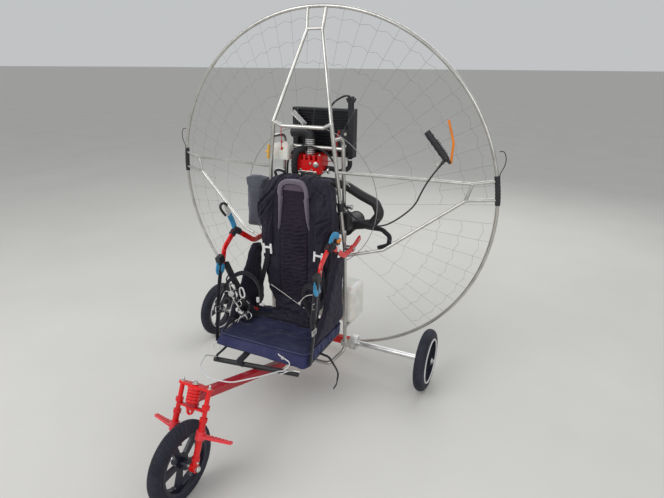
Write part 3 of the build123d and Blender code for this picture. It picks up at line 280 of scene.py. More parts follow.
@dataclass(frozen=True)
class BareMetal(Finish):
    """Bare metal with fine grain, dull patches and finger marks."""

    slot: str = "aluminium"
    roughness: float = 0.3
    grain: Triple = (60.0, 60.0, 6.0)
    metallic: float = 1.0
    cast: float = 0.0

    def mix(self) -> bpy.types.Material:
        """Makes the material."""
        recipe = Recipe(self.name)
        patches = recipe.cloud(14.0, 4.0)
        fine = recipe.cloud(9.0, 3.0, self.grain)
        tone = recipe.sum([(patches, 0, 0.6), (fine, 0, 0.4)])
        recipe.tint(recipe.steps(tone, 0, [(0.34, shade(self.colour, 0.72)), (0.52, self.colour),
                                           (0.68, shade(self.colour, 1.16))]))
        recipe.rough(tone, self.roughness + 0.14, self.roughness - 0.05)
        recipe.finish(Metallic=self.metallic, Anisotropic=0.25)
        if self.cast:
            recipe.relief(recipe.cloud(700.0, 2.0), 0, self.cast, 0.0015)
        else:
            recipe.relief(fine, 0, 0.05, 0.0004)
        return recipe.material


@dataclass(frozen=True)
class Rubber(Finish):
    """Matt rubber, greyed by dust on a broad pattern."""

    slot: str = "hose_rubber"
    dust: float = 0.25

    def mix(self) -> bpy.types.Material:
        """Makes the material."""
        recipe = Recipe(self.name)
        broad = recipe.cloud(11.0, 4.0)
        fine = recipe.cloud(210.0, 3.0)
        tone = recipe.sum([(broad, 0, 0.7), (fine, 0, 0.3)])
        dusty = toward(self.colour, (0.09, 0.095, 0.125), self.dust)
        recipe.tint(recipe.steps(tone, 0, [(0.4, self.colour), (0.62, dusty)]))
        recipe.rough(tone, 0.55, 0.85)
        recipe.finish(Specular_IOR_Level=0.35)
        self.emboss(recipe, fine)
        return recipe.material

    def emboss(self, recipe: Recipe, fine: Node) -> None:
        """Adds the rubber's fine bump."""
        recipe.relief(fine, 0, 0.12, 0.0008)


@dataclass(frozen=True)
class Tread(Rubber):
    """Tyre rubber with chevron blocks and a middle groove that run round the wheel's own centre."""

    centre: Triple = FRONT_AXLE
    blocks: float = 46.0
    inner_radius: float = 0.126

    def emboss(self, recipe: Recipe, fine: Node) -> None:
        """Adds the tread's blocks to the fine bump."""
        around = recipe.add("ShaderNodeMapping", {"Location": tuple(-part for part in self.centre)})
        recipe.join(recipe.coordinates, "Object", around, "Vector")
        parts = recipe.add("ShaderNodeSeparateXYZ")
        recipe.join(around, "Vector", parts, "Vector")
        turn = recipe.add("ShaderNodeMath", operation="ARCTAN2")
        recipe.join(parts, "Y", turn, 0)
        recipe.join(parts, "Z", turn, 1)
        side = recipe.add("ShaderNodeMath", operation="ABSOLUTE")
        recipe.join(parts, "X", side, 0)
        wave = recipe.add("ShaderNodeMath", operation="SINE")
        recipe.join(recipe.sum([(turn, 0, self.blocks), (side, 0, 210.0)]), 0, wave, 0)
        flat = recipe.add("ShaderNodeVectorMath", {1: (0.0, 1.0, 1.0)}, operation="MULTIPLY")
        recipe.join(around, "Vector", flat, 0)
        reach = recipe.add("ShaderNodeVectorMath", operation="LENGTH")
        recipe.join(flat, "Vector", reach, 0)
        pattern = None
        for node, output, low, high in ((wave, 0, -0.35, 0.2), (side, 0, 0.0012, 0.0028),
                                        (reach, "Value", self.inner_radius, self.inner_radius + 0.005)):
            share = recipe.add("ShaderNodeMapRange", {"From Min": low, "From Max": high})
            recipe.join(node, output, share, "Value")
            if pattern is None:
                pattern = share
                continue
            both = recipe.add("ShaderNodeMath", operation="MULTIPLY")
            recipe.join(pattern, 0, both, 0)
            recipe.join(share, 0, both, 1)
            pattern = both
        recipe.relief(recipe.sum([(pattern, 0, 1.0), (fine, 0, 0.08)]), 0, 1.0, 0.004)


@dataclass(frozen=True)
class Moulding(Finish):
    """Moulded plastic with a fine eggshell grain."""

    roughness: float = 0.42
    milky: float = 0.0

    def mix(self) -> bpy.types.Material:
        """Makes the material."""
        recipe = Recipe(self.name)
        broad = recipe.cloud(16.0)
        recipe.tint(recipe.steps(broad, 0,
                                 [(0.3, shade(self.colour, 0.86)), (0.7, shade(self.colour, 1.08))]))
        recipe.rough(recipe.cloud(60.0), self.roughness - 0.08, self.roughness + 0.12)
        recipe.finish(Subsurface_Weight=self.milky, Subsurface_Scale=0.02, Specular_IOR_Level=0.45)
        recipe.relief(recipe.cloud(1200.0, 2.0), 0, 0.1, 0.0005)
        return recipe.material


@dataclass(frozen=True)
class Cloth(Finish):
    """Woven nylon, with its thread as bump, faded and darker in broad patches."""

    slot: str = "black_fabric"
    thread: float = 300.0
    sheen: float = 0.35
    roughness: float = 0.78
    fade: float = 0.35

    def mix(self) -> bpy.types.Material:
        """Makes the material."""
        recipe = Recipe(self.name)
        weave = recipe.sum([(recipe.bands(self.thread, axis), 0, 0.34) for axis in ("X", "Y", "Z")])
        broad = recipe.cloud(7.0, 4.0)
        fluff = recipe.cloud(120.0, 3.0)
        tone = recipe.sum([(broad, 0, 0.6), (fluff, 0, 0.25), (weave, 0, 0.15)])
        faded = toward(self.colour, (0.16, 0.16, 0.22), self.fade)
        recipe.tint(recipe.steps(tone, 0,
                                 [(0.36, shade(self.colour, 0.7)), (0.5, self.colour), (0.66, faded)]))
        recipe.rough(fluff, self.roughness - 0.08, self.roughness + 0.12)
        recipe.finish(Sheen_Weight=self.sheen, Sheen_Roughness=0.4, Sheen_Tint=(0.8, 0.82, 1.0, 1.0),
                      Specular_IOR_Level=0.3)
        recipe.relief(recipe.sum([(weave, 0, 0.8), (fluff, 0, 0.4)]), 0, 0.35, 0.0006)
        return recipe.material


@dataclass(frozen=True)
class Braid(Finish):
    """Webbing or cord whose weave follows the piece's own UV map."""

    slot: str = "webbing"
    ribs: float = 30.0
    along: float = 6.0

    def mix(self) -> bpy.types.Material:
        """Makes the material."""
        recipe = Recipe(self.name)
        ribs = recipe.bands(self.ribs, "X", surface=True)
        wales = recipe.bands(self.along, "Y", surface=True)
        weave = recipe.sum([(ribs, 0, 0.6), (wales, 0, 0.4)])
        broad = recipe.cloud(20.0)
        tone = recipe.sum([(weave, 0, 0.35), (broad, 0, 0.65)])
        recipe.tint(recipe.steps(tone, 0,
                                 [(0.3, shade(self.colour, 0.65)), (0.62, shade(self.colour, 1.25))]))
        recipe.rough(broad, 0.6, 0.85)
        recipe.finish(Sheen_Weight=0.2, Sheen_Roughness=0.4, Specular_IOR_Level=0.3)
        recipe.relief(weave, 0, 0.45, 0.0007)
        return recipe.material


class Palette:
    """The machine's finishes."""

    RED = GlossPaint("red paint", (0.70, 0.007, 0.008))
    DARK_RED = GlossPaint("dark red paint", (0.42, 0.005, 0.016), gloss=0.26)
    # Paler, pinker red for the foot pegs: a painted reflection of the sky on their gloss paint.
    SKY_REFLECTION_RED = GlossPaint("red paint with painted sky reflection", (0.74, 0.042, 0.055))
    TUBE = BareMetal("brushed tube", (0.56, 0.55, 0.52), roughness=0.3, metallic=0.9)
    ALLOY = BareMetal("bright alloy", (0.74, 0.74, 0.73), roughness=0.26)
    CAST = BareMetal("cast alloy", (0.24, 0.24, 0.25), "cast_alloy", roughness=0.5, cast=0.4)
    BOLT = BareMetal("zinc bolt", (0.66, 0.65, 0.6), roughness=0.3)
    BLACK_METAL = BareMetal("black heatproof coat", (0.022, 0.022, 0.024), "black_metal", roughness=0.5,
                            metallic=0.2, cast=0.25)
    FIN_METAL = BareMetal("black fin coat", (0.02, 0.021, 0.026), roughness=0.45, metallic=0.3)
    BLACK_PLASTIC = Moulding("black moulding", (0.018, 0.018, 0.021))
    WHEEL_PLASTIC = Moulding("wheel moulding", (0.011, 0.012, 0.024), roughness=0.34)
    WHITE_PLASTIC = Moulding("milky tank", (0.78, 0.77, 0.72), roughness=0.32, milky=0.35)
    PALE_PLASTIC = Moulding("pale buckle", (0.78, 0.78, 0.78), "white_plastic", roughness=0.36)
    YELLOW_PLASTIC = Moulding("yellow grip", (0.62, 0.36, 0.06), roughness=0.45)
    ORANGE_PLASTIC = Moulding("orange sleeve", (0.75, 0.20, 0.01), "orange_plastic", roughness=0.35)
    FRONT_TREAD = Tread("front tread", (0.008, 0.009, 0.019), dust=0.27, centre=FRONT_AXLE)
    LEFT_TREAD = Tread("left tread", (0.008, 0.009, 0.019), dust=0.27, centre=REAR_LEFT_AXLE)
    RIGHT_TREAD = Tread("right tread", (0.008, 0.009, 0.019), dust=0.27, centre=REAR_RIGHT_AXLE)
    HOSE = Rubber("hose rubber", (0.013, 0.013, 0.015), dust=0.1)
    NAVY = Cloth("navy nylon", (0.024, 0.028, 0.090), "navy_fabric", fade=0.22, sheen=0.2)
    PIPING = Cloth("navy piping", (0.045, 0.05, 0.13), "navy_fabric", fade=0.2, sheen=0.3)
    # Darker navy for the seat's upward faces: painted shade, since the front-lit seat's top falls darker than
    # its front.
    SEAT_TOP_SHADE = Cloth("dark navy nylon", (0.014, 0.0155, 0.048), fade=0.14, sheen=0.16)
    BLACK = Cloth("black nylon", (0.012, 0.009, 0.020), fade=0.10, sheen=0.14)
    MESH = Cloth("ribbed back panel", (0.015, 0.0095, 0.020), thread=110.0, fade=0.06, roughness=0.86,
                 sheen=0.12)
    BAND = Cloth("mauve lining", (0.085, 0.062, 0.088), "grey_fabric", thread=220.0, fade=0.1, sheen=0.3)
    MAUVE = Cloth("mauve padding", (0.15, 0.125, 0.155), "grey_fabric", thread=220.0, fade=0.1, sheen=0.6)
    GREY = Cloth("grey pocket cloth", (0.075, 0.078, 0.095), "grey_fabric", fade=0.2)
    WEB = Braid("black webbing", (0.018, 0.018, 0.026))
    BLUE_WEB = Braid("blue webbing", (0.055, 0.36, 0.66))
    WHITE_CORD = Braid("white cord", (0.72, 0.71, 0.68), ribs=60.0)
    NET = Braid("net cord", (0.26, 0.26, 0.27), "wire", ribs=60.0)
    RED_WIRE = Moulding("red wire", (0.42, 0.02, 0.02), "wire", roughness=0.4)
    RED_BEAD = Moulding("red bead", (0.42, 0.02, 0.02), "orange_plastic", roughness=0.4)
    RED_CORD = Braid("red cord", (0.45, 0.04, 0.05), ribs=60.0)
    WIRE = Moulding("coated wire", (0.62, 0.63, 0.64), roughness=0.3)


class Workshop:
    """Turns meshes and lines into finished pieces that ride on the machine."""

    @staticmethod
    def settle(made: bpy.types.Object, finish: Finish, body: Body, replaces: tuple[str, ...]) -> None:
        """Gives a piece its finish and its body, and hides the plain solids that it stands for."""
        made.data.materials.clear()
        made.data.materials.append(finish.material())
        if replaces:
            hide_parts(*replaces)
        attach(made, body.value)

    @classmethod
    def piece(cls, name: str, mesh: bpy.types.Mesh, finish: Finish, body: Body = Body.AIRFRAME,
              replaces: tuple[str, ...] = ()) -> bpy.types.Object:
        """Makes a piece of a mesh whose place is in its vertices.

        Args:
            name: the piece's name.
            mesh: the finished mesh.
            finish: its finish.
            body: the body that it rides on.
            replaces: the plain solids that it stands for.

        Returns:
            The new object.
        """
        made = bpy.data.objects.new(name, mesh)
        bpy.context.scene.collection.objects.link(made)
        cls.settle(made, finish, body, replaces)
        log.info("%s: %d faces", name, len(mesh.polygons))
        return made

    @staticmethod
    def mesh(name: str, shape: bmesh.types.BMesh, smooth: bool = True) -> bpy.types.Mesh:
        """A mesh from a bmesh, with its faces turned outwards."""
        bmesh.ops.recalc_face_normals(shape, faces=shape.faces)
        for face in shape.faces:
            face.smooth = smooth
        mesh = bpy.data.meshes.new(name)
        shape.to_mesh(mesh)
        shape.free()
        return mesh

    @staticmethod
    def bevel(made: bpy.types.Object, width: float, segments: int = 2) -> bpy.types.Object:
        """Rounds a piece's sharp edges with a Bevel modifier."""
        modifier = made.modifiers.new("Bevel", "BEVEL")
        modifier.width = width
        modifier.segments = segments
        modifier.limit_method = "ANGLE"
        modifier.angle_limit = math.radians(40)
        return made

    @staticmethod
    def smooth(made: bpy.types.Object, levels: int = 1) -> bpy.types.Object:
        """Adds a subdivision surface."""
        modifier = made.modifiers.new("Subdivision", "SUBSURF")
        modifier.levels = levels
        modifier.render_levels = levels
        return made

    @staticmethod
    def line(name: str, points: list[Vector], radius: float, closed: bool = False, sides: int = 3,
             steps: int = 8) -> bpy.types.Object:
        """A round NURBS curve near the points, left as a curve.

        Args:
            name: the curve's name.
            points: its control points.
            radius: the radius of its section.
            closed: joins the end to the start.
            sides: the section's resolution.
            steps: the steps between two control points.

        Returns:
            The curve's object, not yet riding on anything.
        """
        data = bpy.data.curves.new(name, "CURVE")
        data.dimensions = "3D"
        data.bevel_depth = radius
        data.bevel_resolution = sides
        data.resolution_u = steps
        data.use_fill_caps = True
        spline = data.splines.new("NURBS")
        spline.points.add(len(points) - 1)
        for control, place in zip(spline.points, points):
            control.co = (*place, 1)
        spline.order_u = 3
        spline.use_endpoint_u = not closed
        spline.use_cyclic_u = closed
        made = bpy.data.objects.new(name, data)
        bpy.context.scene.collection.objects.link(made)
        return made

    @classmethod
    def tube(cls, name: str, points: list[Vector], radius: float, finish: Finish, body: Body = Body.AIRFRAME,
             closed: bool = False, sides: int = 3, steps: int = 8) -> bpy.types.Object:
        """A tube along a line, made a mesh with its own UV map."""
        line = cls.line(name + "_line", points, radius, closed, sides, steps)
        mesh = cls.baked(line)
        bpy.data.objects.remove(line)
        for face in mesh.polygons:
            face.use_smooth = True
        return cls.piece(name, mesh, finish, body)

    @staticmethod
    def baked(made: bpy.types.Object) -> bpy.types.Mesh:
        """An object's final mesh, with its modifiers applied."""
        bpy.context.view_layer.update()
        return bpy.data.meshes.new_from_object(made.evaluated_get(bpy.context.evaluated_depsgraph_get()))

    @classmethod
    def trace(cls, points: list[Vector], steps: int = 12) -> list[Vector]:
        """Close points along the NURBS line of some control points."""
        line = cls.line("trace", points, 0.0, steps=steps)
        found = [vertex.co.copy() for vertex in cls.baked(line).vertices]
        bpy.data.objects.remove(line)
        return found

    @staticmethod
    def length(path: list[Vector]) -> float:
        """The length of a line of points."""
        return sum((after - before).length for before, after in zip(path, path[1:]))

    @classmethod
    def cord(cls, name: str, places: list[Vector], radius: float, finish: Finish, far_end: str,
             stiffness: str = "limp", sides: int = 3, steps: int = 12,
             pieces: list[bpy.types.Object] | None = None, replaces: tuple[str, ...] = ()) -> None:
        """A hanging cord, left as a curve, on the airframe; its length is worked out and not kept.

        Args:
            name: the piece's name.
            places: its control points, from its exit.
            radius: the cord's radius.
            finish: its finish.
            far_end: not used.
            stiffness: not used.
            sides: the section's resolution.
            steps: the steps between two control points.
            pieces: not used.
            replaces: the plain solids that it stands for.
        """
        made = cls.line(name, places, radius, sides=sides, steps=steps)
        cls.settle(made, finish, Body.AIRFRAME, replaces)
        cls.length(cls.trace(places, 24))

    @classmethod
    def strap(cls, name: str, points: list[Vector], facing: Vector, width: float, finish: Finish,
              thickness: float = 0.0022, twist: float = 0.0) -> bpy.types.Object:
        """Flat webbing on the airframe, along a smooth line.

        Args:
            name: the piece's name.
            points: control points of its middle line.
            facing: the direction that its flat side faces.
            width: the webbing's width.
            finish: its finish.
            thickness: the webbing's thickness.
            twist: how far it turns from end to end, in radians.

        Returns:
            The new object.
        """
        middle = cls.trace(points)
        shape = bmesh.new()
        bmesh.ops.create_grid(shape, x_segments=len(middle) - 1, y_segments=3, size=0.5, calc_uvs=True)
        last = len(middle) - 1
        for vertex in shape.verts:
            index = min(last, max(0, round((vertex.co.x + 0.5) * last)))
            before, after = middle[max(0, index - 1)], middle[min(last, index + 1)]
            run = (after - before).normalized()
            side = run.cross(facing).normalized()
            turn = Matrix.Rotation(twist * index / last, 3, run)
            vertex.co = middle[index] + (turn @ side) * vertex.co.y * width
        made = cls.piece(name, cls.mesh(name, shape), finish)
        wall = made.modifiers.new("Thickness", "SOLIDIFY")
        wall.thickness = thickness
        wall.offset = 0.0
        return made

    @classmethod
    def bolts(cls, name: str, seats: list[Seat], radius: float, body: Body = Body.AIRFRAME,
              finish: Finish = Palette.BOLT) -> bpy.types.Object:
        """Hexagon bolts with washers.

        Args:
            name: the piece's name.
            seats: the place and the outward direction of each bolt.
            radius: the heads' radius.
            body: the body that they ride on.
            finish: their finish.

        Returns:
            The new object.
        """
        shape = bmesh.new()
        top = radius * 0.85
        washer, head, thread = (20, radius * 1.4, -0.0008, 0.0011), (6, radius, 0.0011, top), (
            12, radius * 0.5, top, top * 1.3)
        for place, outwards in seats:
            turn = Matrix.Translation(place) @ outwards.to_track_quat("Z", "Y").to_matrix().to_4x4()
            for sides, wide, low, high in (washer, head, thread):
                made = bmesh.ops.create_cone(shape, cap_ends=True, segments=sides, radius1=wide,
                                             radius2=wide * 0.95, depth=high - low)
                bmesh.ops.transform(shape, matrix=turn @ Matrix.Translation((0, 0, (low + high) / 2)),
                                    verts=made["verts"])
        made = cls.piece(name, cls.mesh(name, shape, smooth=False), finish, body)
        return cls.bevel(made, radius * 0.07, 1)

    @classmethod
    def rings(cls, name: str, seats: list[tuple[Vector, Vector, float, float]], finish: Finish,
              body: Body = Body.AIRFRAME) -> bpy.types.Object:
        """Short round bands round a tube, such as clamps and ribs.

        Args:
            name: the piece's name.
            seats: the centre, the axis, the radius and the width of each.
            finish: their finish.
            body: the body that they ride on.

        Returns:
            The new object.
        """
        shape = bmesh.new()
        for centre, axis, radius, width in seats:
            made = bmesh.ops.create_cone(shape, cap_ends=True, segments=32, radius1=radius, radius2=radius,
                                         depth=width)
            turn = Matrix.Translation(centre) @ axis.to_track_quat("Z", "Y").to_matrix().to_4x4()
            bmesh.ops.transform(shape, matrix=turn, verts=made["verts"])
        width = min(seat[3] for seat in seats)
        made = cls.piece(name, cls.mesh(name, shape, smooth=False), finish, body)
        return cls.bevel(made, width * 0.22)

    @classmethod
    def bars(cls, name: str, boxes: list[Seat], finish: Finish, turn: Matrix | None = None,
             edge: float = 0.001) -> bpy.types.Object:
        """Small bars with rounded edges, as one piece of the airframe.

        Args:
            name: the piece's name.
            boxes: the centre and the size of each bar, before the turn.
            finish: their finish.
            turn: where the bars' own frame is placed.
            edge: the width of the rounded edges.

        Returns:
            The new object.
        """
        shape = bmesh.new()
        for centre, size in boxes:
            made = bmesh.ops.create_cube(shape, size=1.0)
            bmesh.ops.transform(shape, matrix=Matrix.Translation(centre) @ Matrix.Diagonal((*size, 1.0)),
                                verts=made["verts"])
        if turn is not None:
            bmesh.ops.transform(shape, matrix=turn, verts=shape.verts)
        return cls.bevel(cls.piece(name, cls.mesh(name, shape, smooth=False), finish), edge)

    @classmethod
    def link(cls, name: str, centre: Vector, long: Vector, wide: Vector, radius: float,
             finish: Finish) -> bpy.types.Object:
        """An oval ring of round wire on the airframe.

        Args:
            name: the piece's name.
            centre: its middle.
            long: half of its length, with its direction.
            wide: half of its width, with its direction.
            radius: the wire's radius.
            finish: its finish.

        Returns:
            The new object.
        """
        outline = ((1, 0), (0.9, 0.75), (0.35, 1), (-0.35, 0.92), (-0.88, 0.62), (-1, 0), (-0.88, -0.62),
                   (-0.35, -0.92), (0.35, -1), (0.9, -0.75))
        points = [centre + long * along + wide * across for along, across in outline]
        return cls.tube(name, points, radius, finish, closed=True, steps=5)

    @staticmethod
    def curve(points: list[Vector], share: float) -> Vector:
        """A point of the smooth line through some points, at a share of its way."""
        place = min(0.9999, max(0.0, share)) * (len(points) - 1)
        index = int(place)
        part = place - index
        before, start = points[max(0, index - 1)], points[index]
        end, after = points[index + 1], points[min(len(points) - 1, index + 2)]
        return 0.5 * (2 * start + (end - before) * part + (2 * before - 5 * start + 4 * end - after) * part ** 2
                      + (3 * start - before - 3 * end + after) * part ** 3)

    @classmethod
    def quilt(cls, name: str, rows: list[tuple[Vector, Vector, Vector]], thickness: float, relief: Relief,
              finish: Finish, across: int = 22, along: int = 60, replaces: tuple[str, ...] = (),
              fill: float = 0.6) -> bpy.types.Object:
        """A padded piece between two edge lines, crowned in the middle and pinched at its edges.

        Args:
            name: the piece's name.
            rows: for each row its two edge points and the direction that it faces.
            thickness: its height over the rows' plane.
            relief: gives the extra height at two shares and a place.
            finish: its fabric.
            across: the faces across it.
            along: the faces along it.
            replaces: the plain solids that it stands for.
            fill: not used.

        Returns:
            The new object.
        """
        shape = bmesh.new()
        bmesh.ops.create_grid(shape, x_segments=across, y_segments=along, size=0.5)
        upper = bmesh.ops.extrude_face_region(shape, geom=shape.faces[:], use_keep_orig=True)["geom"]
        for vertex in upper:
            if isinstance(vertex, bmesh.types.BMVert):
                vertex.co.z = 1.0
        left, right, facing = ([row[index] for row in rows] for index in range(3))
        for vertex in shape.verts:
            u, v, level = vertex.co.x + 0.5, vertex.co.y + 0.5, vertex.co.z
            middle = cls.curve(left, v).lerp(cls.curve(right, v), u)
            outwards = cls.curve(facing, v).normalized()
            crown = (1 - abs(2 * u - 1) ** 4) ** 0.5 * (1 - abs(2 * v - 1) ** 16) ** 0.5
            height = thickness * (0.22 + 0.78 * crown) + relief(u, v, middle) * (0.2 + 0.8 * crown)
            vertex.co = middle + outwards * height * level
        made = cls.piece(name, cls.mesh(name, shape), finish, replaces=replaces)
        cls.smooth(made)
        return made


class Skin:
    """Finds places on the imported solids, so that fittings sit on what carries them."""

    @staticmethod
    def node(name: str, start: Vector, towards: Vector) -> Vector:
        """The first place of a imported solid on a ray.

        Args:
            name: the solid's node.
            start: where the ray starts.
            towards: its direction.

        Returns:
            The place, or the start where the ray misses.
        """
        bpy.context.view_layer.update()
        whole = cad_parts[name].evaluated_get(bpy.context.evaluated_depsgraph_get())
        hit, place, _, _ = whole.ray_cast(start, towards.normalized())
        if hit:
            return place
        log.warning("no surface of %s from %s", name, tuple(round(part, 3) for part in start))
        return start


@dataclass
class Studio:
    """The pale floor, the soft lamps and the camera at the photograph's place."""

    camera_place: Triple = (1.0422, -1.5253, 1.4446)
    yaw: float = -0.4384
    pitch: float = 0.3556
    roll: float = 0.0078
    floor_size: float = 900.0
    floor_colour: Triple = (0.62, 0.61, 0.58)
    sky_colour: Triple = (0.86, 0.88, 0.90)

    def build(self) -> None:
        """Makes the floor, the world, the lamps and the camera."""
        self.floor()
        self.world()
        self.lamps()
        self.camera()
        bpy.context.scene.view_settings.view_transform = "Standard"

    def floor(self) -> None:
        """A wide plain floor with a faint variation."""
        shape = bmesh.new()
        bmesh.ops.create_grid(shape, x_segments=2, y_segments=2, size=self.floor_size / 2)
        mesh = Workshop.mesh("floor", shape)
        made = bpy.data.objects.new("floor", mesh)
        bpy.context.scene.collection.objects.link(made)
        recipe = Recipe("pale floor")
        tone = recipe.cloud(1.6, 3.0)
        recipe.tint(recipe.steps(tone, 0, [(0.3, shade(self.floor_colour, 0.97)),
                                           (0.7, shade(self.floor_colour, 1.02))]))
        recipe.finish(Roughness=0.9, Specular_IOR_Level=0.1)
        mesh.materials.append(recipe.material)

    def world(self) -> None:
        """Even pale light from all round."""
        world = bpy.data.worlds.new("soft sky")
        world.use_nodes = True
        back = world.node_tree.nodes["Background"]
        back.inputs["Color"].default_value = (*self.sky_colour, 1)
        back.inputs["Strength"].default_value = 0.62
        bpy.context.scene.world = world

    def lamps(self) -> None:
        """One large lamp above and two weaker ones at the sides."""
        table = (
            ("key", (-1.8, -2.6, 3.4), 3.2, 95.0),
            ("fill", (2.8, -2.4, 2.2), 2.6, 38.0),
            ("rim", (0.4, 3.4, 3.2), 3.0, 55.0),
        )
        for name, place, size, power in table:
            lamp = bpy.data.lights.new(name, "AREA")
            lamp.size = size
            lamp.energy = power
            made = bpy.data.objects.new(name, lamp)
            made.location = place
            made.rotation_euler = (Vector((0, 0, 0.7)) - Vector(place)).to_track_quat("-Z", "Y").to_euler()
            bpy.context.scene.collection.objects.link(made)

    def camera(self) -> None:
        """The camera at the photograph's angle."""
        data = bpy.data.cameras.new("photo camera")
        data.sensor_fit = "HORIZONTAL"
        data.sensor_width = 36.0
        data.lens = PHOTO_FOCAL / PHOTO_WIDTH * 36.0
        made = bpy.data.objects.new("photo camera", data)
        ahead = Vector((math.sin(self.yaw) * math.cos(self.pitch), math.cos(self.yaw) * math.cos(self.pitch),
                        -math.sin(self.pitch)))
        level = Vector((math.cos(self.yaw), -math.sin(self.yaw), 0))
        up = level.cross(ahead)
        right = level * math.cos(self.roll) + up * math.sin(self.roll)
        top = up * math.cos(self.roll) - level * math.sin(self.roll)
        turn = Matrix((right, top, -ahead)).transposed().to_4x4()
        made.matrix_world = Matrix.Translation(self.camera_place) @ turn
        bpy.context.scene.collection.objects.link(made)
        bpy.context.scene.camera = made


@dataclass
class Solids:
    """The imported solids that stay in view, each with its finish."""

    finishes: tuple[tuple[Finish, tuple[str, ...]], ...] = (
        (Palette.DARK_RED, ("main_beam",)),
        (Palette.RED, ("rear_crossmember", "fork", "cylinder_head", "hanging_arm_left",
                       "hanging_arm_right")),
        # The foot pegs take the paler red of a painted sky reflection.
        (Palette.SKY_REFLECTION_RED, ("foot_pegs",)),
        (Palette.ALLOY, ("front_axle", "axle_tube_left", "axle_tube_right", "axle_clamp_left",
                         "axle_clamp_right", "propeller_hub")),
        (Palette.TUBE, ("chassis_frame", "top_mast", "hoop_upper", "hoop_lower", "side_spar_left",
                        "side_spar_right")),
        (Palette.BLACK_PLASTIC, ("hoop_joint_left", "hoop_joint_right", "air_box", "radiator_cap",
                                 "seat_board", "throttle_grip", "cable_clamp")),
        (Palette.CAST, ("crankcase", "cylinder", "reduction_drive", "carburettor")),
        (Palette.BLACK_METAL, ("exhaust_pipe", "silencer", "foot_bar")),
        (Palette.HOSE, ("tail_pipe", "coolant_hoses")),
        (Palette.FIN_METAL, ("radiator",)),
        (Palette.WHITE_PLASTIC, ("expansion_tank", "fuel_tank")),
        (Palette.YELLOW_PLASTIC, ("starter_handle",)),
        (Palette.WIRE, ("wire_loop",)),
        (Palette.ORANGE_PLASTIC, ("throttle_lever",)),
        (Palette.WHEEL_PLASTIC, ("front_rim", "rear_left_rim", "rear_right_rim")),
        (Palette.FRONT_TREAD, ("front_tyre",)),
        (Palette.LEFT_TREAD, ("rear_left_tyre",)),
        (Palette.RIGHT_TREAD, ("rear_right_tyre",)),
        (Palette.BLACK, ("backrest", "side_panel_left", "side_panel_right")),
        (Palette.MAUVE, ("collar",)),
        (Palette.WEB, ("shoulder_straps",)),
        (Palette.NAVY, ("seat_cushion",)),
        (Palette.GREY, ("side_pocket",)),
    )

    def build(self) -> None:
        """Gives each node its finish."""
        for finish, nodes in self.finishes:
            for node in nodes:
                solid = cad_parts[node]
                if not solid.material_slots:
                    solid.data.materials.append(finish.material())
                for place in solid.material_slots:
                    place.material = finish.material()


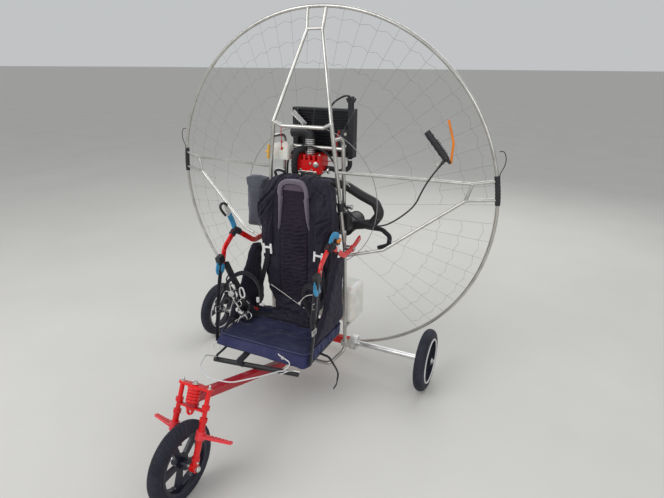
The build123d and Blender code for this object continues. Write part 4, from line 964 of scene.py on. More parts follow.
@dataclass
class Cage:
    """The net in the hoop and the small fittings on the cage's tubes."""

    cord: float = 0.0005
    ring_radius: float = 0.335
    ring_y: float = -0.125
    anchors: int = 60
    skipped: float = math.radians(34)
    ring_shares: tuple[float, ...] = (0.09, 0.27, 0.46, 0.68)

    def build(self) -> None:
        """Makes the net and the fittings."""
        self.net()
        self.retaining_loops()
        self.joint_ribs()

    def net_place(self, angle: float, share: float) -> Vector:
        """A point of the net.

        Args:
            angle: the angle round the hoop, from the pilot's left upwards.
            share: 0 at the hoop and 1 at the inner ring.

        Returns:
            The point.
        """
        radius = HOOP_RADIUS - 0.009 + (self.ring_radius - HOOP_RADIUS + 0.009) * share
        up = radius * math.sin(angle)
        outer_y = -math.sin(angle) * HOOP_RADIUS * math.sin(HOOP_LEAN)
        y = outer_y * (1 - share) + self.ring_y * share - 0.002
        return spot(radius * math.cos(angle), y, HOOP_Z + up * math.cos(HOOP_LEAN))

    def strand(self, shape: bmesh.types.BMesh, places: list[Vector]) -> None:
        """Adds a thin four-sided cord along some points to a shape."""
        for start, end in zip(places, places[1:]):
            span = end - start
            made = bmesh.ops.create_cone(shape, cap_ends=False, segments=4, radius1=self.cord,
                                         radius2=self.cord, depth=span.length)
            turn = span.to_track_quat("Z", "Y").to_matrix().to_4x4()
            bmesh.ops.transform(shape, matrix=Matrix.Translation((start + end) / 2) @ turn,
                                verts=made["verts"])

    def net(self) -> None:
        """Radial cords from the hoop, tied by rings that hang slack between them, and the inner ring."""
        shape = bmesh.new()
        angles = []
        for index in range(self.anchors):
            angle = 2 * math.pi * (index + 0.5) / self.anchors
            below = abs((angle - 1.5 * math.pi + math.pi) % (2 * math.pi) - math.pi)
            if below > self.skipped:
                angles.append(angle)
        for index, angle in enumerate(angles):
            reach = 1.0 if index % 2 == 0 else self.ring_shares[2]
            self.strand(shape, [self.net_place(angle, share) for share in (0.0, reach)])
            for share in self.ring_shares:
                step = 2 if share > self.ring_shares[2] else 1
                if index % step or index + step >= len(angles):
                    continue
                other = angles[index + step]
                if other - angle > math.radians(20):
                    continue
                slack = share - 0.025
                self.strand(shape, [self.net_place(angle, share), self.net_place((angle + other) / 2, slack),
                                    self.net_place(other, share)])
        Workshop.piece("cage_net", Workshop.mesh("cage_net", shape), Palette.NET)
        ring = [self.net_place(2 * math.pi * index / 72, 1.0) for index in range(72)]
        Workshop.tube("net_inner_ring", ring, 0.0016, Palette.NET, closed=True, steps=3)

    def retaining_loops(self) -> None:
        """Thin elastic loops outside the hoop, one on each side."""
        for side, name in SIDES:
            outline = ((0.806, 1.128), (0.82095, 1.136), (0.83655, 1.104), (0.831675, 1.066), (0.8151, 1.038),
                       (0.822, 1.004))
            points = [spot(side * x, -0.010, z) for x, z in outline]
            Workshop.tube("retaining_loop_" + name, points, 0.0018, Palette.HOSE)

    def joint_ribs(self) -> None:
        """Raised rings on the rubber sleeves of the hoop's joints."""
        for side, name in SIDES:
            shape = bmesh.new()
            for index in range(7):
                height = 0.921 + 0.0155 * index
                up = (height - HOOP_Z) / math.cos(HOOP_LEAN)
                centre = spot(side * math.sqrt(HOOP_RADIUS ** 2 - up ** 2), -up * math.sin(HOOP_LEAN), height)
                made = bmesh.ops.create_cone(shape, cap_ends=True, segments=28, radius1=0.0122,
                                             radius2=0.0122,
                                             depth=0.006)
                lean = Matrix.Rotation(-side * math.asin(up / HOOP_RADIUS), 4, "Y")
                bmesh.ops.transform(shape, matrix=Matrix.Translation(centre) @ lean, verts=made["verts"])
            rib = Workshop.piece("joint_ribs_" + name, Workshop.mesh("joint_ribs", shape, smooth=False),
                                 Palette.BLACK_PLASTIC)
            Workshop.bevel(rib, 0.0012)


@dataclass(frozen=True)
class Puff:
    """How a simulation fills a pad."""

    voxel: float = 0.007
    pressure: float = 4.0
    shrink: float = 0.004
    cap: float = 0.010
    frames: int = 18
    stiffness: float = 8.0


class Upholstery:
    """Makes padded fabric from plain closed shapes, by cloth simulation and by given rules."""

    @staticmethod
    def copy_of(node: str) -> bmesh.types.BMesh:
        """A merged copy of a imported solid."""
        shape = bmesh.new()
        shape.from_mesh(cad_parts[node].data)
        bmesh.ops.remove_doubles(shape, verts=shape.verts, dist=1e-6)
        bmesh.ops.recalc_face_normals(shape, faces=shape.faces)
        return shape

    @staticmethod
    def even(shape: bmesh.types.BMesh, name: str, voxel: float) -> bpy.types.Mesh:
        """The shape covered with even faces by a voxel remesh."""
        rough = bpy.data.meshes.new(name + "_rough")
        shape.to_mesh(rough)
        shape.free()
        made = bpy.data.objects.new(name + "_rough", rough)
        bpy.context.scene.collection.objects.link(made)
        grid = made.modifiers.new("Grid", "REMESH")
        grid.mode = "VOXEL"
        grid.voxel_size = voxel
        mesh = Workshop.baked(made)
        bpy.data.objects.remove(made)
        return mesh

    @staticmethod
    def puffed(mesh: bpy.types.Mesh, puff: Puff) -> None:
        """Blows the mesh up a little by a cloth simulation and keeps each point near its start.

        Args:
            mesh: the closed mesh, changed in place.
            puff: the simulation's settings.
        """
        start = [vertex.co.copy() for vertex in mesh.vertices]
        normals = [vertex.normal.copy() for vertex in mesh.vertices]
        for vertex, normal in zip(mesh.vertices, normals):
            vertex.co -= normal * puff.shrink
        made = bpy.data.objects.new("simulated", mesh)
        bpy.context.scene.collection.objects.link(made)
        cloth = made.modifiers.new("Cloth", "CLOTH")
        cloth.settings.quality = 5
        cloth.settings.use_pressure = True
        cloth.settings.uniform_pressure_force = puff.pressure
        cloth.settings.effector_weights.gravity = 0.0
        cloth.settings.tension_stiffness = puff.stiffness
        cloth.settings.compression_stiffness = puff.stiffness
        cloth.settings.shear_stiffness = puff.stiffness * 0.5
        cloth.settings.bending_stiffness = 0.4
        cloth.collision_settings.use_collision = False
        for step in range(1, puff.frames + 1):
            bpy.context.scene.frame_set(step)
        ended = Workshop.baked(made)
        for vertex, place, finish in zip(mesh.vertices, start, ended.vertices):
            move = finish.co - place
            if move.length > puff.cap:
                move *= puff.cap / move.length
            vertex.co = place + move
        bpy.data.objects.remove(made)
        bpy.data.meshes.remove(ended)
        bpy.context.scene.frame_set(1)

    @staticmethod
    def worked(mesh: bpy.types.Mesh, hand: Hand) -> None:
        """Moves every point by a given rule of its place and normal."""
        mesh.update()
        moved = [hand(vertex.co.copy(), vertex.normal.copy()) for vertex in mesh.vertices]
        for vertex, place in zip(mesh.vertices, moved):
            vertex.co = place
        mesh.update()

    @classmethod
    def pad(cls, name: str, shape: bmesh.types.BMesh, puff: Puff, hand: Hand, finish: Finish,
            replaces: tuple[str, ...] = (), fill: float = 0.6) -> bpy.types.Object:
        """A padded piece on the airframe.

        Args:
            name: the piece's name.
            shape: its plain closed shape.
            puff: the simulation's settings.
            hand: the rule that works wrinkles and channels into it afterwards.
            finish: its fabric.
            replaces: the plain solids that it stands for.
            fill: not used.

        Returns:
            The new object.
        """
        mesh = cls.even(shape, name, puff.voxel)
        cls.puffed(mesh, puff)
        cls.worked(mesh, hand)
        for face in mesh.polygons:
            face.use_smooth = True
        made = Workshop.piece(name, mesh, finish, replaces=replaces)
        Workshop.smooth(made)
        return made


@dataclass
class Harness:
    """The pilot's back, collar, shoulder pads, hip wings, pocket and seat."""

    creases: dict[int, tuple[tuple[tuple[float, float], tuple[float, float], float], ...]] = field(
        default_factory=lambda: {
            1: (((0.070, 0.975), (0.155, 0.930), 0.006), ((0.155, 0.930), (0.172, 0.850), 0.004),
                ((0.176, 0.830), (0.100, 0.790), 0.007), ((0.100, 0.930), (0.125, 0.830), 0.004)),
            -1: (((-0.070, 0.972), (-0.172, 0.858), 0.008), ((-0.100, 0.900), (-0.168, 0.800), 0.005),
                 ((-0.172, 0.858), (-0.176, 0.770), 0.005), ((-0.112, 0.850), (-0.130, 0.720), 0.004)),
        })
    panel_half: float = 0.068
    web_width: float = 0.025

    def build(self) -> None:
        """Makes the soft pieces."""
        self.back()
        self.back_panel()
        self.collar()
        self.shoulder_pads()
        self.seat()
        self.lumbar_roll()
        self.wings()
        self.pocket()
        self.webbing()
        self.buckles()
        self.top_loop()
        self.loose_ends()

    @staticmethod
    def front(height: float) -> float:
        """The y of the back's front face at a height, from the hoop's centre."""
        return -0.2840 + max(0.0, height - 0.615) * 0.0591

    @staticmethod
    def taper(side: float, height: float) -> float:
        """The share of a shoulder's width at a height; only the right one slopes inwards."""
        return 1.0 - (0.24 * max(0.0, (height - 0.87) / 0.12) if side < 0 else 0.0)

    @staticmethod
    def apart(place: Vector, start: Vector, end: Vector) -> float:
        """The distance of a place from a line's nearest point."""
        span = end - start
        share = min(1.0, max(0.0, (place - start).dot(span) / span.length_squared))
        return (place - start - span * share).length

    def back_rule(self, place: Vector, normal: Vector) -> Vector:
        """Broad folds beside the middle panel and a seam along each of its edges."""
        facing = max(0.0, -normal.y)
        x, z = place.x, place.z
        height = facing * 0.006 * fractal(Vector((x + z * 0.8, 0.3, z * 0.35)), 16.0)
        height -= 0.004 * math.exp(-((abs(x) - self.panel_half) / 0.006) ** 2) * facing
        height += 0.0028 * fractal(place, 30.0)
        if abs(x) < self.panel_half and facing > 0.5:
            height -= 0.007
        moved = place + normal * height
        moved.z -= 0.012 * max(0.0, (z - 0.94) / 0.05)
        moved.x *= self.taper(x, z)
        return moved

    def back(self) -> None:
        """The padded back."""
        Upholstery.pad("back_pad", Upholstery.copy_of("backrest"), Puff(cap=0.008), self.back_rule,
                       Palette.BLACK, ("backrest",), 0.5)

    def back_panel(self) -> None:
        """The middle panel, gathered into fine wavy ruches on its lower part."""
        rows = [(spot(-half, self.front(z) - 0.001, z), spot(half, self.front(z) - 0.001, z),
                 Vector((0, -1, 0.04)))
                for half, z in ((0.052, 0.366), (0.068, 0.45), (0.070, 0.60), (0.070, 0.75), (0.068, 0.88),
                                (0.056, 0.958))]

        def relief(u: float, v: float, place: Vector) -> float:
            lower = min(1.0, max(0.18, (0.83 - place.z) / 0.09))
            sway = fractal(Vector((place.x * 0.5, 0.0, place.z)), 12.0)
            warp = 0.011 * sway + 0.0036 * math.sin(2 * math.pi * place.x / 0.047 + 9 * sway)
            waves = math.sin(2 * math.pi * (place.z + warp) / 0.0185)
            depth = 0.8 + 0.9 * fractal(Vector((place.x, 5.0, place.z)), 20.0)
            ruches = abs(waves) ** 0.8 * math.copysign(1.0, waves) * depth
            return 0.0066 * lower * ruches + 0.002 * fractal(place, 40.0)

        Workshop.quilt("back_panel", rows, 0.011, relief, Palette.MESH, across=34, along=230, fill=0.5)

    def collar(self) -> None:
        """The smooth mauve collar, which thins down its legs, and the padded band inside its arch."""
        def rule(place: Vector, normal: Vector) -> Vector:
            side = math.copysign(1.0, place.x)
            down = min(1.0, max(0.0, (0.874 - place.z) / 0.16))
            outer = 0.085 + 0.022 * min(1.0, max(0.0, (0.874 - place.z) / 0.174))
            reach = outer - (outer - abs(place.x)) * (0.72 - 0.40 * down) - 0.008 - 0.012 * down
            moved = Vector((side * reach, place.y + 0.006 * down, place.z))
            moved.z += max(0.0, 0.80 - place.z) * (0.62 if side > 0 else 0.40)
            if place.z > 0.874:
                radius = math.hypot(place.x, place.z - 0.874)
                wanted = 0.080 - (0.085 - radius) * 0.66
                turn = math.atan2(place.z - 0.874, abs(place.x))
                square = 1.0 + 0.13 * math.sin(2 * turn) ** 2
                moved.x = side * wanted * math.cos(turn) * square
                moved.z = 0.874 + wanted * math.sin(turn) * square
            moved.z += 0.036 * min(1.0, max(0.0, (place.z - 0.76) / 0.12))
            return moved + normal * (0.0012 * fractal(place, 24.0))

        Upholstery.pad("collar_pad", Upholstery.copy_of("collar"), Puff(voxel=0.004, shrink=0.003, cap=0.006),
                       rule,
                       Palette.MAUVE, ("collar",), 0.8)
        rows = [(spot(-half, self.front(z) - 0.008, z), spot(half, self.front(z) - 0.008, z),
                 Vector((0, -1, 0.1)))
                for half, z in ((0.055, 0.934), (0.056, 0.956), (0.049, 0.984))]
        Workshop.quilt("collar_band", rows, 0.011, lambda u, v, place: 0.0012 * fractal(place, 30.0),
                       Palette.BAND, across=20, along=12, fill=0.7)

    def shoulder_pads(self) -> None:
        """Wide pads that come over the top of the back and narrow down to the buckles."""
        table = (
            (0.001, 0.142, -0.180, 0.973, 0, 1), (0.001, 0.152, -0.232, 0.974, 0, 1),
            (0.002, 0.162, -0.262, 0.966, -0.7, 0.7), (0.050, 0.174, -0.266, 0.940, -1, 0.06),
            (0.098, 0.184, -0.269, 0.900, -1, 0.06), (0.106, 0.189, -0.272, 0.845, -1, 0.06),
            (0.107, 0.184, -0.275, 0.795, -1, 0.06), (0.107, 0.164, -0.278, 0.752, -1, 0.06),
            (0.109, 0.154, -0.281, 0.705, -1, 0.0), (0.112, 0.150, -0.284, 0.668, -1, 0.0),
        )
        for side, name in SIDES:
            rows = [(spot(side * inner, y, z), spot(side * outer * self.taper(side, z), y, z),
                     Vector((0, out, up)))
                    for inner, outer, y, z, out, up in table]

            def relief(u: float, v: float, place: Vector) -> float:
                slant = Vector((place.x * side - place.z * 0.75, 2.0, place.z * 0.4 + place.x * side * 0.4))
                crease = 0.0
                for start, end, depth in self.creases[side]:
                    away = self.apart(Vector((place.x, place.z)), Vector(start), Vector(end))
                    crease -= depth * math.exp(-(away / 0.0045) ** 2)
                    crease += 0.6 * depth * math.exp(-((away - 0.010) / 0.006) ** 2)
                folds = 0.011 * fractal(slant, 15.0) + 0.0045 * fractal(slant, 38.0)
                return folds + 0.0022 * fractal(place, 62.0) + crease

            Workshop.quilt("shoulder_pad_" + name, rows, 0.019, relief, Palette.BLACK, across=40,
                           along=110, replaces=("shoulder_straps",) if side > 0 else (), fill=0.6)

    def seat(self) -> None:
        """The navy seat: slack on top, with a piped edge and a front that slopes forward and flares."""
        def rule(place: Vector, normal: Vector) -> Vector:
            top, front, side = max(0.0, normal.z), max(0.0, -normal.y), abs(normal.x)
            edge = math.exp(-((place.z - 0.326) / 0.005) ** 2)
            rear = min(1.0, max(0.0, (place.y - 0.06) / 0.14))
            slack = fractal(Vector((place.x * 0.7 + 0.2, place.y * 1.3, 0)), 10.0)
            height = top * ((0.008 + 0.012 * rear) * slack - 0.003)
            height += top * (0.003 + 0.004 * rear) * fractal(place, 26.0)
            height += front * 0.005 * fractal(Vector((place.x, 0, place.z * 0.4)), 15.0)
            height += side * 0.0045 * fractal(Vector((place.y * 1.6, 0, place.z * 0.5)), 30.0)
            height += 0.0022 * edge * max(front, side)
            moved = place + normal * height
            ahead = min(1.0, max(0.0, (0.05 - place.y) / 0.068))
            low = min(1.0, max(0.0, (0.334 - place.z) / 0.054))
            moved.y += ahead * (0.014 - 0.030 * low)
            moved.z -= ahead * low * (0.005 + 0.010 * max(0.0, place.x / 0.22))
            if place.x < 0:
                moved.x -= ahead * low * 0.040 * min(1.0, -place.x / 0.22)
            return moved

        made = Upholstery.pad("seat_pad", Upholstery.copy_of("seat_cushion"),
                              Puff(voxel=0.0062, cap=0.009, shrink=0.005), rule, Palette.NAVY,
                              ("seat_cushion",), 0.4)
        # Upward faces get the darker navy: painted shade on the seat's top.
        made.data.materials.append(Palette.SEAT_TOP_SHADE.material())
        for face in made.data.polygons:
            if face.normal.z > 0.55:
                face.material_index = 1
        edge = spots((
            (-0.226, -0.42, 0.337), (-0.228, -0.53, 0.337), (-0.221, -0.574, 0.336), (-0.19, -0.582, 0.336),
            (-0.08, -0.583, 0.338), (0.06, -0.583, 0.337), (0.19, -0.582, 0.336), (0.221, -0.573, 0.336),
            (0.228, -0.53, 0.337), (0.226, -0.42, 0.337)))
        Workshop.tube("seat_piping", edge, 0.0024, Palette.PIPING, steps=12)

    def lumbar_roll(self) -> None:
        """The slack black cloth bunched where the back meets the seat."""
        rows = [(spot(-0.10, y, z), spot(0.13, y, z), Vector((0, out, up)))
                for y, z, out, up in ((-0.287, 0.425, -1, 0.3), (-0.292, 0.39, -1, 0.4),
                                      (-0.300, 0.352, -1, 0.8), (-0.335, 0.340, -0.5, 1),
                                      (-0.385, 0.337, -0.3, 1))]

        def relief(u: float, v: float, place: Vector) -> float:
            folds = math.sin(2 * math.pi * (3.2 * v + 0.9 * fractal(Vector((place.x, 0, v * 0.1)), 13.0)))
            return 0.0065 * folds + 0.004 * fractal(place, 33.0)

        Workshop.quilt("lumbar_roll", rows, 0.024, relief, Palette.BLACK, across=56, along=44, fill=0.3)

    def wings(self) -> None:
        """The hip wings between the back and the seat."""
        def rule(place: Vector, normal: Vector) -> Vector:
            fold = fractal(Vector((place.x, place.y * 0.7 + place.z * 0.5, place.z * 0.6)), 14.0)
            return place + normal * (0.006 * fold + 0.0012 * fractal(place, 40.0))

        for name in ("left", "right"):
            Upholstery.pad("hip_wing_" + name, Upholstery.copy_of("side_panel_" + name),
                           Puff(voxel=0.005, shrink=0.003, cap=0.007), rule, Palette.BLACK,
                           ("side_panel_" + name,), 0.3)

    def pocket(self) -> None:
        """The grey side pocket with its lid and zip."""
        def rule(place: Vector, normal: Vector) -> Vector:
            channel = math.exp(-((place.z - 0.905) / 0.004) ** 2)
            return place + normal * (0.004 * fractal(place, 15.0) - 0.0035 * channel)

        Upholstery.pad("pocket", Upholstery.copy_of("side_pocket"), Puff(voxel=0.006, cap=0.009), rule,
                       Palette.GREY, ("side_pocket",), 0.5)

    def webbing(self) -> None:
        """Flat straps: from the buckles to the hips, down outside the wings and over the seat's corners."""
        ahead = Vector((0, -1, 0))
        for side, name in SIDES:
            lower = spots((
                (0.131, -0.2945, 0.690), (0.131, -0.2960, 0.655), (0.137, -0.2955, 0.61),
                (0.160, -0.2955, 0.53), (0.186, -0.300, 0.44), (0.199, -0.312, 0.372),
                (0.200, -0.330, 0.343)), side)
            Workshop.strap("hip_web_" + name, lower, ahead, self.web_width, Palette.WEB)
            outer = spots((
                (0.2355, -0.505, 0.640), (0.2375, -0.520, 0.60), (0.2380, -0.538, 0.52),
                (0.2380, -0.556, 0.42), (0.2370, -0.572, 0.34), (0.2345, -0.578, 0.292)), side)
            Workshop.strap("seat_web_" + name, outer, Vector((side, 0, 0)), self.web_width, Palette.WEB)
            leg = spots((
                (0.228, -0.492, 0.640), (0.212, -0.478, 0.575), (0.190, -0.450, 0.49), (0.168, -0.425, 0.41),
                (0.150, -0.400, 0.355), (0.120, -0.370, 0.3405), (0.085, -0.345, 0.341)), side)
            Workshop.strap("leg_web_" + name, leg, Vector((0, -1, 0.35)), 0.034, Palette.WEB,
                           twist=side * 0.35)

    def buckles(self) -> None:
        """The pale frame buckles on the shoulder straps, and small ones on the outer straps."""
        for side, name in SIDES:
            place = spot(side * 0.131, -0.301, 0.655)
            lean = Matrix.Translation(place) @ Matrix.Rotation(side * 0.06, 4, "Y")
            bars = [(Vector((x, 0, 0)), Vector((0.0095, 0.007, 0.048))) for x in (-0.0185, 0.0185)]
            bars.append((Vector((0, -0.001, 0.007)), Vector((0.032, 0.0060, 0.0095))))
            Workshop.bars("shoulder_buckle_" + name, bars, Palette.PALE_PLASTIC, lean,
                          0.0016)
            place = spot(side * 0.2395, -0.553, 0.437)
            bars = [(Vector((0, y, 0)), Vector((0.006, 0.004, 0.026))) for y in (0.0155, -0.0155)]
            bars += [(Vector((0, 0, z)), Vector((0.006, 0.031, 0.005))) for z in (0.010, -0.010)]
            bars.append((Vector((0, 0, 0)), Vector((0.005, 0.031, 0.004))))
            Workshop.bars("seat_buckle_" + name, bars, Palette.ALLOY,
                          Matrix.Translation(place), 0.001)

    def top_loop(self) -> None:
        """The small carrying loop on the back's top edge."""
        points = spots((
            (-0.113, -0.224, 0.972), (-0.122, -0.230, 0.998), (-0.112, -0.238, 1.012),
            (-0.085, -0.240, 1.015), (-0.066, -0.236, 1.008), (-0.062, -0.226, 0.976)))
        Workshop.strap("carrying_loop", points, Vector((0, -1, 0.2)), 0.014, Palette.WEB)
        edge = [place + Vector((0, -0.002, 0.007)) for place in points[1:-1]]
        Workshop.tube("carrying_loop_edge", edge, 0.0016, Palette.WHITE_CORD)

    def loose_ends(self) -> None:
        """The thin pale lines across the back and at the seat, and the strap that hangs beside the seat."""
        line = spots(((-0.118, -0.305, 0.478), (-0.03, -0.312, 0.443), (0.066, -0.314, 0.395)))
        Workshop.tube("back_line", line, 0.0014, Palette.WHITE_CORD)
        seat_cord = spots((
            (0.096, -0.600, 0.322), (0.104, -0.612, 0.329), (0.132, -0.618, 0.323), (0.163, -0.618, 0.311),
            (0.150, -0.618, 0.280), (0.112, -0.618, 0.248), (0.118, -0.619, 0.240), (0.151, -0.619, 0.268),
            (0.176, -0.619, 0.276), (0.204, -0.612, 0.274)))
        Workshop.cord("seat_cord", seat_cord, 0.0023, Palette.WHITE_CORD, "object")
        self.knot("seat_cord_knot", (0.128, -0.619, 0.323), 0.0062)
        corner = spots((
            (-0.222, -0.580, 0.292), (-0.240, -0.592, 0.284), (-0.250, -0.598, 0.272),
            (-0.240, -0.602, 0.262), (-0.224, -0.600, 0.258), (-0.212, -0.588, 0.268)))
        Workshop.tube("seat_corner_loop", corner, 0.0026, Palette.WHITE_CORD)
        speed_line = spots((
            (0.222, -0.500, 0.655), (0.226, -0.486, 0.628), (0.225, -0.466, 0.590), (0.216, -0.448, 0.560),
            (0.182, -0.432, 0.540), (0.140, -0.418, 0.524), (0.111, -0.405, 0.500), (0.090, -0.400, 0.470)))
        end = self.knot("speed_line_knot", (0.089, -0.400, 0.466), 0.0055)
        Workshop.cord("speed_line", speed_line, 0.0017, Palette.WHITE_CORD, "knot", pieces=[end])
        points = spots((
            (0.205, -0.452, 0.276), (0.230, -0.452, 0.2725), (0.258, -0.451, 0.268), (0.272, -0.451, 0.248),
            (0.296, -0.450, 0.214), (0.303, -0.450, 0.190), (0.297, -0.450, 0.160), (0.296, -0.450, 0.138),
            (0.280, -0.450, 0.111)))
        strap = Workshop.strap("loose_strap", points, Vector((0.45, -1, 0)), 0.012, Palette.WEB, twist=1.6)
        path = Workshop.trace(points)
        Workshop.length(path)

    @staticmethod
    def knot(name: str, place: Triple, radius: float) -> bpy.types.Object:
        """A small round knot in a line."""
        shape = bmesh.new()
        bmesh.ops.create_icosphere(shape, subdivisions=3, radius=radius)
        centre = spot(*place)
        for vertex in shape.verts:
            swell = 1 + 0.16 * math.sin(3.0 * math.atan2(vertex.co.z, vertex.co.x) + 900 * vertex.co.y)
            vertex.co = centre + Vector((vertex.co.x * 1.15, vertex.co.y * 0.85, vertex.co.z)) * swell
        return Workshop.piece(name, Workshop.mesh(name, shape), Palette.WHITE_CORD)


@dataclass
class Arms:
    """The clips, webbing and bolts on the two hanging arms, and the hardware that hangs by the seat."""

    def build(self) -> None:
        """Dresses both arms."""
        for side, name in SIDES:
            self.tip(side, name)
            self.peak(side, name)
            self.pins(side, name)
        self.hardware()
        self.toggles()
        self.leg_loops()

    def leg_loops(self) -> None:
        """The stiff webbing loops that arch over each side of the seat."""
        for side, name in SIDES:
            route = ((0.2365, -0.545, 0.470), (0.236, -0.505, 0.525), (0.205, -0.462, 0.572),
                     (0.160, -0.440, 0.584),
                     (0.122, -0.420, 0.548), (0.112, -0.400, 0.490), (0.126, -0.385, 0.430),
                     (0.150, -0.378, 0.372),
                     (0.168, -0.372, 0.342))
            Workshop.strap("leg_loop_" + name, [spot(side * x, y, z) for x, y, z in route],
                           Vector((side * 0.35, -1, 0.15)), 0.020, Palette.WEB,
                           twist=side * 0.5)

    def tip(self, side: int, name: str) -> None:
        """The black clip on the arm's tip with its blue strap."""
        place = spot(side * 0.235, -0.5120, 0.650)
        turn = Matrix.Translation(place) @ Matrix.Rotation(math.radians(14), 4, "X")
        bars = [(Vector((0, -0.004, 0.010)), Vector((0.024, 0.036, 0.036))),
                (Vector((0, -0.012, -0.004)), Vector((0.016, 0.010, 0.022))),
                (Vector((0, 0.011, -0.004)), Vector((0.016, 0.006, 0.018)))]
        Workshop.bars("tip_clip_" + name, bars, Palette.BLACK_PLASTIC, turn, 0.003)
        loop = spots((
            (0.235, -0.528, 0.646), (0.236, -0.538, 0.628), (0.237, -0.536, 0.606), (0.238, -0.520, 0.594),
            (0.236, -0.504, 0.604), (0.235, -0.500, 0.626), (0.235, -0.502, 0.642)), side)
        Workshop.strap("tip_strap_" + name, loop, Vector((side, 0, 0)), 0.026, Palette.BLUE_WEB)

    def peak(self, side: int, name: str) -> None:
        """The webbing wound round the arm's peak: a standing hook on the right, a tagged loop on the left."""
        wrap = [(spot(side * 0.235, y, z), Vector((0, along_y, along_z)), 0.0150, 0.012)
                for y, z, along_y, along_z in ((-0.420, 0.746, -0.75, -0.55), (-0.409, 0.754, -0.75, -0.45),
                                               (-0.396, 0.760, -1, 0.1), (-0.383, 0.753, -0.83, 0.56),
                                               (-0.372, 0.745, -0.83, 0.56))]
        Workshop.rings("peak_wrap_" + name, wrap, Palette.WEB)
        if side < 0:
            blue = [spot(-0.237, y, z) for y,
                    z in ((-0.398, 0.770), (-0.406, 0.790), (-0.418, 0.816), (-0.430, 0.838))]
            pale = [spot(-0.237, y, z) for y,
                    z in ((-0.428, 0.835), (-0.437, 0.855), (-0.445, 0.873), (-0.450, 0.890))]
            hook = [spot(-0.237, y, z) for y,
                    z in ((-0.446, 0.880), (-0.452, 0.893), (-0.470, 0.8985), (-0.485, 0.895),
                                                    (-0.489, 0.882), (-0.478, 0.864), (-0.456, 0.840))]
            Workshop.strap("peak_pale_" + name, pale, Vector((side, 0, 0)), 0.022, Palette.WHITE_CORD, 0.005)
        else:
            blue = [spot(0.238, y, z) for y,
                    z in ((-0.402, 0.768), (-0.392, 0.784), (-0.376, 0.794), (-0.347, 0.792),
                                                   (-0.322, 0.774))]
            hook = [spot(0.240, y, z) for y,
                    z in ((-0.372, 0.748), (-0.352, 0.752), (-0.338, 0.748), (-0.328, 0.736),
                                                   (-0.326, 0.722), (-0.333, 0.708), (-0.344, 0.704))]
            tag = [(spot(0.241, -0.322, 0.757), Vector((0.009, 0.034, 0.018)))]
            Workshop.bars("peak_tag_" + name, tag, Palette.ORANGE_PLASTIC, edge=0.004)
            pale = [(spot(0.240, -0.333, 0.728), Vector((0.016, 0.012, 0.034)))]
            Workshop.bars("peak_pale_" + name, pale, Palette.PALE_PLASTIC, edge=0.005)
        Workshop.strap("peak_blue_" + name, blue, Vector((side, 0, 0)), 0.027, Palette.BLUE_WEB, 0.006)
        Workshop.tube("peak_hook_" + name, hook, 0.0055, Palette.BLACK_METAL, sides=4)

    def pins(self, side: int, name: str) -> None:
        """Bright pins through the arm near its tip and at its root."""
        seats = []
        for y, z in ((-0.4985, 0.662), (-0.4945, 0.680), (-0.0905, 0.6905), (-0.158, 0.6675)):
            place = Skin.node("hanging_arm_" + name, spot(side * 0.30, y, z), Vector((-side, 0, 0)))
            seats.append((place, Vector((side, 0, 0))))
        Workshop.bolts("arm_pins_" + name, seats, 0.0036)

    def hardware(self) -> None:
        """Clips, rings and a pulley beside the seat's right side, with short lines between them."""
        ovals = (
            ("snap_hook_upper", (-0.226, -0.470, 0.545), (0.010, -0.030, 0.030), (0.004, 0.012, 0.012),
             0.0034,
             Palette.BLACK_METAL),
            ("snap_hook_middle", (-0.200, -0.478, 0.470), (0.020, -0.008, 0.032), (-0.014, 0.004, 0.010),
             0.0036,
             Palette.BLACK_METAL),
            ("snap_hook_lower", (-0.168, -0.462, 0.405), (0.024, 0.010, 0.024), (-0.012, 0.004, 0.012),
             0.0034,
             Palette.BLACK_METAL),
            ("ring_upper", (-0.214, -0.474, 0.510), (0.012, -0.002, 0.014), (-0.011, 0.006, 0.010), 0.0021,
             Palette.ALLOY),
            ("ring_lower", (-0.186, -0.470, 0.437), (0.012, -0.004, 0.013), (-0.012, 0.004, 0.010), 0.0021,
             Palette.ALLOY),
            ("ring_seat", (-0.150, -0.452, 0.372), (0.011, 0.003, 0.012), (-0.012, 0.006, 0.008), 0.0021,
             Palette.ALLOY),
            ("speed_ring_left", (0.199, -0.470, 0.505), (0.006, -0.006, 0.018), (0.010, 0.002, 0.002), 0.0022,
             Palette.ALLOY),
        )
        for name, centre, long, wide, radius, finish in ovals:
            Workshop.link(name, spot(*centre), Vector(long), Vector(wide), radius, finish)
        blocks = [(spot(-0.232, -0.505, 0.520), Vector((0.010, 0.020, 0.034))),
                  (spot(-0.228, -0.508, 0.455), Vector((0.012, 0.024, 0.024))),
                  (spot(-0.172, -0.455, 0.445), Vector((0.026, 0.012, 0.018))),
                  (spot(-0.205, -0.500, 0.362), Vector((0.020, 0.014, 0.024))),
                  (spot(-0.160, -0.450, 0.352), Vector((0.030, 0.016, 0.012)))]
        Workshop.bars("strap_blocks", blocks, Palette.BLACK_PLASTIC, edge=0.0035)
        wheel = [(spot(-0.214, -0.482, 0.486), Vector((0.4, -1, 0.2)), 0.013, 0.003),
                 (spot(-0.2120, -0.4870, 0.487), Vector((0.4, -1, 0.2)), 0.010, 0.003),
                 (spot(-0.2100, -0.4920, 0.488), Vector((0.4, -1, 0.2)), 0.013, 0.003)]
        Workshop.rings("pulley", wheel, Palette.ALLOY)
